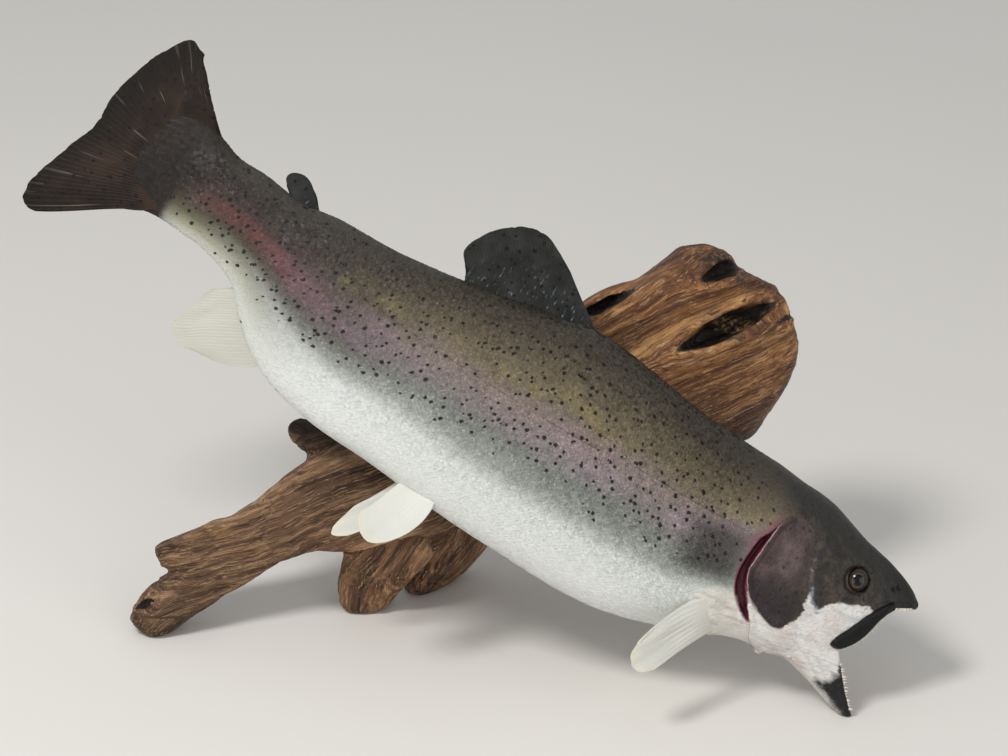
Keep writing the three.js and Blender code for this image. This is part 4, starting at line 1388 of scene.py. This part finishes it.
def make_fin(name, base, margin, root, edge, rays, wave, ragged,
             swell=(0, 0), heel=(0, 0), relief_height=0.26):
    """A fan with raised, branching rays: a grid from base to margin, given its thickness."""
    across = max(rays, 8) * 8
    bpy.ops.mesh.primitive_grid_add(x_subdivisions=across, y_subdivisions=40, size=2)
    fin = named(name)
    grid = points_of(fin)
    u, v = (grid[:, 0] + 1) / 2, (grid[:, 1] + 1) / 2
    base, margin = ([(*place, 0)[:3] for place in line] for line in (base, margin))
    rim_line = smooth_line(margin, 20)
    start = spaced(smooth_line(base, 20), u)
    end = spaced(rim_line, u)
    ray = u * max(rays, 1)
    seed = sum(ord(letter) for letter in name)
    nibble = np.clip(waver(rows(ray, 0, 0), 0.8, seed, 3), -0.2, 1)
    notch = rise(waver(rows(ray, 0, 0), 1.3, seed + 1), 0.62, 0.9)
    t = v * (1 - ragged * (0.5 * nibble + 1.4 * notch) * rise(v, 0.6, 1.0))
    chord = end - start
    points = start + chord * t[:, None]
    points[:, :2] += (4 * t * (1 - t) * (1 - u) ** 3)[:, None] * np.array(swell, float)
    points[:, :2] += (6.75 * t * (1 - t) ** 2 * u ** 3)[:, None] * np.array(heel, float)
    shares = np.linspace(0, 1, 50)
    spread = np.gradient(spaced(rim_line, shares), axis=0)
    out = np.cross(between(u, shares, spread), chord).mean(axis=0)
    out /= np.linalg.norm(out)
    bow = wave * waver(rows(u * 3.0, v * 1.6, 0), 1.0, seed + 3, 2) * rise(v, 0.1, 1.0) * 2.4
    points = points + out[None] * bow[:, None]
    points = rows(points[:, 0], points[:, 2], points[:, 1])
    s, h = points[:, 0], points[:, 2]
    lot = hashed(rows(np.floor(ray + 0.5), 0, 0), 9)
    split = rise(v + 0.2 * lot, 0.35, 0.8)
    single = np.clip(np.cos(2 * math.pi * ray), -0.3, 1)
    double = np.clip(np.cos(4 * math.pi * ray + math.pi), -0.3, 1)
    ridge = (single * (1 - split) + double * split) * (rays > 0)
    ridge = ridge * rise(v, 0.12, 0.45)
    joints = 0.12 * np.cos(v * 110) * (ridge > 0)
    taper = edge + (root - edge) * (1 - v) ** (1.7 if name.startswith("tail") else 2.2)
    thick = np.maximum(taper + relief_height * (1 - 0.3 * v) * (ridge + joints), 0.35)
    set_points(fin, points)
    keep(fin, "fin", rows(ray, v, ridge))
    keep(fin, "bold", np.full(len(s), min(relief_height / 0.3, 1.0)))
    keep(fin, "fish", points * MM)
    keep(fin, "lie", rows(s * MM, fall(points), 0))
    keep(fin, "sheet", rows(s, h, 0) * MM)
    most = float(thick.max())
    group = fin.vertex_groups.new(name="thick")
    for index, share in enumerate(thick / most):
        group.add([index], float(share), "REPLACE")
    modify(fin, "SOLIDIFY", thickness=most, offset=0, vertex_group="thick", use_rim=True,
           use_even_offset=False)
    set_points(fin, bent(points_of(fin)))
    face_outwards(fin)
    smooth_faces(fin, 50)
    return fin


def ray_lines(f, ray, count=2.0):
    """Fine lines along the rays, from 0 to 1."""
    return f.calc("SINE", ray * (2 * math.pi * count)) * 0.5 + 0.5


def dark_fin_finish():
    """The fins of the tail and the back."""
    f = Finish("dark_fin_paint", Roughness=0.5, Specular_IOR_Level=0.12)
    fish = f.kept("fish", vector=True)
    ray, v, _ = f.parts(f.kept("fin", vector=True))
    s = f.parts(fish)[0]
    mottle = f.noise(fish, 55, 4, 0.6)
    lines = ray_lines(f, ray)
    tail = f.mix(lines * f.fade(mottle, 0.35, 0.65, 0.05, 0.3), tail_brown(f, fish), "#120d09")
    across = f.add("CombineXYZ", inputs=[(0, ray * 1.9), (1, v * 1.3)])
    split = f.fade(f.noise(across, 1.0, 2, 0.6), 0.62, 0.67)
    split = split * f.fade(v, 0.45, 0.75)
    tail = f.mix(split * 0.55, tail, "#8a7f74")
    tail = f.mix(f.fade(v, 0.62, 1.0, 0.0, 0.8), tail, "#110d0a")
    back = f.ramp(mottle, [(0.3, "#181815"), (0.5, "#242421"), (0.7, "#333532")])
    dashes = f.noise(f.scaled(fish, (1.4, 1, 0.5)), 320, 3, 0.65)
    glints = f.fade(v, 0.75, 0.2) * f.fade(dashes, 0.58, 0.7)
    back = f.mix(glints * (lines * 0.5 + 0.4), back, "#8c9bab")
    colour = f.mix(f.fade(s, 0.57, 0.59), back, tail)
    field = jittered(f, f.kept("sheet", vector=True), 420, 0.0022)
    near, lot = f.cells(field, 120)
    spotted = f.fade(lot[0] * 0.07 + 0.11 - near, -0.02, 0.04) * (lot[1] > 0.25)
    colour = f.mix(spotted * 0.85, colour, "#0b0a08")
    f.paint(colour)
    f.bump(f.noise(fish, 700, 3, 0.6) + lines * 0.35, 0.0004, 0.6)
    return f.material


def pale_fin_finish():
    f = Finish("pale_fin_paint", Roughness=0.5)
    fish = f.kept("fish", vector=True)
    ray, v, ridge = f.parts(f.kept("fin", vector=True))
    bold = f.kept("bold")
    lines = ray_lines(f, ray) * bold
    base = f.mix(f.noise(fish, 60, 4, 0.6), "#c9c8be", "#d6d5cc")
    valley = f.fade(ridge, 0.3, -0.25) * f.fade(f.noise(fish, 40, 3), 0.3, 0.7, 0.2, 0.7)
    base = f.mix(valley * bold, base, "#b5b2a8")
    base = f.mix(lines * f.fade(v, 0.3, 0.6, 0.02, 0.12), base, "#a19f97")
    base = f.mix(f.fade(v, 0.85, 1.0, 0.0, 0.45), base, "#d9d0b4")
    base = f.mix(f.fade(f.parts(fish)[0], 0.44, 0.46, 0.0, 0.8), base, "#aaa99b")
    f.paint(base)
    f.bump(f.noise(fish, 600, 3, 0.6) + lines * 0.6, 0.0004, 0.6)
    return f.material


# ---- The driftwood ------------------------------------------------------------------------


def grain_frames(points):
    """For each point, its place in each limb: along it and across it, and how near it is."""
    found = []
    for name, table in LIMBS.items():
        line = smooth_line(table, 8)
        steps = lengths_along(line)
        best = np.full(len(points), 1e9)
        along = np.zeros(len(points))
        off = np.zeros_like(points)
        way = np.zeros_like(points)
        for a, b, start in zip(line, line[1:], steps):
            run = b - a
            length = np.linalg.norm(run)
            t = np.clip((points - a) @ run / length ** 2, 0, 1)
            gap = points - (a + t[:, None] * run)
            far = (gap ** 2).sum(1)
            nearer = far < best
            best[nearer] = far[nearer]
            along[nearer] = start + t[nearer] * length
            off[nearer] = gap[nearer]
            way[nearer] = run / length
        up = unit(np.array([0, 0, 1.0]) - way * way[:, 2:3])
        across = np.cross(way, up)
        frame_at = rows(along, (off * up).sum(1), (off * across).sum(1))
        found.append((frame_at, np.sqrt(best) / LIMB_GIRTH[name]))
    return found


GRAIN_TILT = math.radians(26)

# Hollows in the wood: middle, half length along the grain, half depth, half height.
HOLLOWS = [([160, -50, 37.5], [41, 26, 8.5]), ([71, -40, 52.5], [25, 26, 4.6]),
           ([163, -48, 80.5], [26, 26, 7.2]), ([206, -46, 45], [13, 30, 2.4]),
           ([-259, -14, -163], [8, 9, 3.4])]
POINTED = 0.45  # how much a hollow narrows towards its ends


def hollow_frame(points, at):
    """Along the grain, across it and deep, from the middle of a hollow."""
    gap = points - np.array(at, float)
    return *turned(gap[:, 0], gap[:, 2], GRAIN_TILT), gap[:, 1]


def in_hollow(points, at, half):
    """1 on the wall of a hollow, less within it."""
    along, off, deep = hollow_frame(points, at)
    height = half[2] * (1 - POINTED * np.clip(along / half[0], -1, 1) ** 2)
    return np.sqrt((along / half[0]) ** 2 + (deep / half[1]) ** 2 + (off / height) ** 2)


def rod(name, line, radius):
    """A bar of wood along a line."""
    line = smooth_line(line, 8)

    def ring_at(step, angle, ends):
        at = between(step, np.arange(len(line)), line)
        size = np.where(ends, 0, radius)
        return at + rows(0, size * np.cos(angle), size * np.sin(angle))
    stations = np.r_[0, np.arange(len(line)), len(line) - 1]
    return ringed(name, 20, stations, ring_at)


def make_driftwood():
    only(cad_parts["driftwood"])
    bpy.ops.object.duplicate()
    wood = named("driftwood_log")
    for key in list(wood.keys()):
        if key.startswith("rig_"):
            del wood[key]
    wood.parent = None
    set_points(wood, off_mount(points_of(wood)))
    bpy.ops.object.mode_set(mode="EDIT")
    bpy.ops.mesh.select_all(action="SELECT")
    bpy.ops.mesh.remove_doubles(threshold=0.01)
    bpy.ops.object.mode_set(mode="OBJECT")
    wood.data.materials.clear()
    bridge = rod("bridge", [[44, -17, 38], [60, -17, 51], [78, -17, 60], [104, -17, 66]], 7.5)
    wood = merged("driftwood_log", [wood, bridge])
    modify(wood, "REMESH", mode="VOXEL", voxel_size=2.2)
    for at, half in HOLLOWS:
        bpy.ops.mesh.primitive_uv_sphere_add(segments=48, ring_count=32)
        cutter = named("cutter")
        ball = points_of(cutter)
        ball[:, 2] *= 1 - POINTED * ball[:, 0] ** 2
        along, deep, off = (ball * half).T
        x, z = turned(along, off, -GRAIN_TILT)
        set_points(cutter, rows(x, deep, z) + np.array(at, float))
        cut_away(wood, cutter)
    modify(wood, "REMESH", mode="VOXEL", voxel_size=2.15)
    points = points_of(wood)
    edges = edges_of(wood)
    wall = np.min([in_hollow(points, at, half) for at, half in HOLLOWS], axis=0)
    points = relaxed(points, edges, 0.5 * rise(np.abs(wall - 1), 0.02, 0.25) + 0.06, 6)
    set_points(wood, points)
    way = numbers_of(wood.data.vertices, "normal")
    frames = grain_frames(points)
    nearness = np.stack([near for _, near in frames], -1)
    share = np.exp(-6 * nearness)
    share /= share.sum(1, keepdims=True)
    to_right = rise(points[:, 0], 20, 60)
    end_grain = rise(points[:, 0], 222, 190)
    height = np.zeros(len(points))
    flow = np.zeros(len(points))
    for at, half in HOLLOWS:
        along, off, _ = hollow_frame(points, at)
        u, v = along / (half[0] + 6), off / (half[2] + 6)
        near_by = bell(points[:, 1] - at[1], 45)
        flow += 0.8 * near_by * off / np.maximum(u * u + v * v, 1)
    frames[0][0][:, 1] -= flow
    for index, (place, _) in enumerate(frames):
        drift = rows(0, waver(place, 46, 81), waver(place, 46, 82))
        curved = (place + 6 * drift) * [1, 1, 0.45]
        furrows = -np.abs(waver(curved * [0.05, 1, 1], 9, 83 + index, 2)) * (3.0 - 1.0 * to_right)
        folds = waver(curved * [0.06, 1, 1], 22, 71 + index, 2) * (4.4 - 0.8 * to_right)
        fibres = waver(curved * [0.035, 1, 1], 2.8, 91 + index, 2) * (0.95 - 0.4 * to_right)
        height += share[:, index] * (furrows + folds + fibres) * (0.25 + 0.75 * end_grain)
    height += 1.3 * waver(points, 30, 87, 3) + 0.9
    height += 1.3 * bell(wall - 1.28, 0.2)
    knots = rise(waver(points, 13, 88), 0.45, 0.8)
    height -= 1.6 * knots * rise(-points[:, 0], 20, 60)
    in_wall = rise(wall, 1.12, 0.98)
    lumps = 2.2 * waver(points, 7, 89, 2)
    height = height * (1 - in_wall) + lumps * in_wall
    on_floor = rise(on_mount(points)[:, 2] / MM, 3, 9)
    points = points + way * (height * on_floor)[:, None]
    main = nearness.argmin(1)
    grain = np.stack([place for place, _ in frames], 1)[np.arange(len(points)), main]
    keep(wood, "grain", grain * [MM, MM, 0.45 * MM])
    keep(wood, "furrow", height)
    keep(wood, "hollow", in_wall)
    keep(wood, "mount", points * MM)
    finished = on_mount(points)
    finished[:, 2] = np.maximum(finished[:, 2], 0)
    set_points(wood, finished)
    smooth_faces(wood)
    return wood


def driftwood_finish():
    f = Finish("driftwood_grain", Specular_IOR_Level=0.4)
    grain = f.kept("grain", vector=True)
    mount = f.kept("mount", vector=True)
    x, _, z = f.parts(mount)
    furrow = f.kept("furrow")
    curl = jittered(f, grain, 45, 0.005, 3.0)
    wide = f.noise(f.scaled(curl, (0.09, 1, 1)), 62, 3, 0.55)
    streak = f.noise(f.scaled(curl, (0.035, 1, 1)), 330, 5, 0.68)
    fine = f.noise(f.scaled(curl, (0.035, 1, 1)), 1050, 3, 0.7)
    broad = f.noise(f.scaled(grain, (0.3, 1, 1)), 22, 3, 0.6)
    side = x + (broad * 0.12 - 0.06)
    to_right = f.fade(side, -0.02, 0.06)
    tone = streak * 0.5 + wide * 0.5
    warm = f.ramp(tone, [(0.37, "#27150a"), (0.45, "#573219"), (0.53, "#84552c"),
                         (0.62, "#c4935b")])
    grey = f.ramp(tone, [(0.37, "#21140c"), (0.45, "#4c3423"), (0.54, "#76573f"),
                         (0.64, "#b08c67")])
    colour = f.mix(to_right, grey, warm)
    colour = f.mix(f.fade(broad, 0.52, 0.70, 0.0, 0.6), colour, "#33200f")
    colour = f.mix(f.fade(broad, 0.42, 0.30, 0.0, 0.35), colour, "#b3844f")
    # Darker on the lower side of the log's right part, towards the fish: painted shade.
    low = f.fade(z, 0.02, -0.05) * f.fade(x, 0.1, 0.17)
    colour = f.mix(low * 0.7, colour, "#3b2115")
    middle = f.fade(z, -0.09, -0.13) * f.fade(x, -0.16, -0.13)
    colour = f.mix(middle * 0.75, colour, f.mix(1.0, colour, (1.7, 1.65, 1.6, 1), "MULTIPLY"))
    colour = f.mix(f.fade(furrow, -0.4, -3.0, 0.0, 0.8), colour, "#1d120a")
    colour = f.mix(f.fade(fine, 0.54, 0.68, 0.0, 0.6), colour, "#cba77c")
    colour = f.mix(f.fade(fine, 0.46, 0.33, 0.0, 0.8), colour, "#1c1009")
    for scale, width in ((120, 0.006), (210, 0.007)):
        vein = f.noise(f.scaled(curl, (0.03, 1, 1)), scale, 3, 0.55)
        line = f.fade(abs(vein - 0.5), width, 0.001)
        line = line * f.fade(f.noise(mount, 34, 2), 0.42, 0.6)
        colour = f.mix(line * 0.8, colour, "#1b0f07")
    # The stub is painted dark: painted shade over it.
    stub = f.fade(z + x * 0.35, -0.104, -0.092)
    stub = stub * f.fade(x, -0.1, -0.118)
    colour = f.mix(stub * f.fade(broad, 0.65, 0.4, 0.4, 0.85), colour, "#150d08")
    pit = f.ramp(f.noise(mount, 190, 4, 0.7),
                 [(0.35, "#0b0705"), (0.6, "#1f140d"), (0.72, "#4a3521")])
    colour = f.mix(f.fade(f.kept("hollow"), 0.2, 0.8), colour, pit)
    knot = ((x - 0.163) ** 2.0 + ((z - 0.038) * 2.4) ** 2.0) ** 0.5
    rind = f.fade(knot, 0.017, 0.011) * f.fade(f.noise(mount, 260, 4, 0.7), 0.46, 0.6)
    colour = f.mix(rind * f.kept("hollow"), colour, "#8a6c48")
    f.paint(colour)
    f.feed(f.shader, "Roughness", to_right * -0.36 + 0.76)
    height = streak * 1.2 + fine * 1.0
    f.bump(height + f.noise(mount, 700, 3, 0.6) * 0.6, 0.002, 0.9)
    return f.material


# ---- Putting it together ------------------------------------------------------------------


def finished(piece, material, slot, *nodes):
    piece.data.materials.clear()
    piece.data.materials.append(material)
    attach(piece, "root")
    if nodes:
        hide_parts(*nodes)
    return piece


SIDES = ((1, "right"), (-1, "left"))
COAT_PARTS = (("front", 118, 260), ("middle", 260, 400), ("rear", 400, 642))

paint = trout_skin()
finished(make_skin(), paint, "flank_skin", "head", "lower_jaw", "trunk", "tail_stalk")
for side, side_name in SIDES:
    for part_name, first, last in COAT_PARTS:
        finished(make_coat(side, f"scales_{side_name}_{part_name}", first, last), paint,
                 "flank_skin")

lip = plain_finish("black_lip_paint", "#050504", "#121110", 240, 0.28, 0.0012,
                   Specular_IOR_Level=0.2)
eyes = eye_finish()
for side, side_name in SIDES:
    finished(make_gill_cover(side, f"cover_plate_{side_name}"), paint, "dark_skin",
             f"gill_cover_{side_name}")
    finished(make_throat_flap(side, f"throat_fold_{side_name}"), paint, "pale_skin")
    finished(make_maxilla(side, f"lip_plate_{side_name}"), lip, "black_lip",
             f"maxilla_{side_name}")
    finished(make_eye(side, f"glass_eye_{side_name}"), eyes, "glass_eye", f"eye_{side_name}")

tooth_finish = plain_finish("tooth_ivory", "#d9d0bb", "#efe9da", 200, 0.35)
for row_name, row in TEETH.items():
    finished(make_teeth(row_name, row), tooth_finish, "pale_skin")
flesh = plain_finish("tongue_paint", "#c39a8f", "#dbbcb0", 80, 0.35)
finished(make_tongue(), flesh, "mouth_lining", "tongue")

dark_fin = dark_fin_finish()
pale_fin = pale_fin_finish()
for fin_name, table in FINS.items():
    is_dark = fin_name in ("tail_fin", "dorsal_fin", "adipose_fin")
    finished(make_fin(fin_name + "_fan", **table), dark_fin if is_dark else pale_fin,
             "dark_fin" if is_dark else "pale_fin", fin_name)

finished(make_driftwood(), driftwood_finish(), "driftwood", "driftwood")

# ---- Floor, light and camera --------------------------------------------------------------

bpy.ops.mesh.primitive_plane_add(size=14, location=(0, 0, 0))
floor = named("studio_floor")
floor.data.materials.append(plain_finish("pale_floor", "#d9d5ce", "#dedad3", 1.5, 0.7, 0))

world = bpy.data.worlds.new("studio")
bpy.context.scene.world = world
world.use_nodes = True
world.node_tree.nodes["Background"].inputs["Color"].default_value = tint("#e9ebee")
world.node_tree.nodes["Background"].inputs["Strength"].default_value = 0.6


def soft_light(name, place, aim, size, power):
    bpy.ops.object.light_add(type="AREA", location=place)
    light = bpy.context.object
    light.name = name
    light.data.shape = "DISK"
    light.data.size = size
    light.data.energy = power
    way = np.array(aim, float) - np.array(place, float)
    light.rotation_euler = (math.acos(-way[2] / np.linalg.norm(way)), 0,
                            math.atan2(way[1], way[0]) - math.pi / 2)


soft_light("key_light", (-1.0, -0.9, 2.2), (0, 0, 0.15), 0.7, 36)
soft_light("fill_light", (1.6, -1.9, 1.0), (0, 0, 0.15), 2.2, 17)
soft_light("low_light", (-1.5, -2.0, 0.5), (0, 0, 0.15), 1.6, 9)

VIEW_DISTANCE = 2450
FOCAL_PIXELS = 3387
FRAME_WIDTH = 1008
bpy.ops.object.camera_add(
    location=on_mount(np.array([[0, -VIEW_DISTANCE, 0]], float))[0],
    rotation=(math.pi / 2 - LEAN, 0, 0))
camera = bpy.context.object
camera.name = "camera"
camera.data.sensor_width = 36
camera.data.lens = FOCAL_PIXELS / FRAME_WIDTH * camera.data.sensor_width
camera.data.clip_start = 0.05
bpy.context.scene.camera = camera
bpy.context.scene.view_settings.view_transform = "Standard"
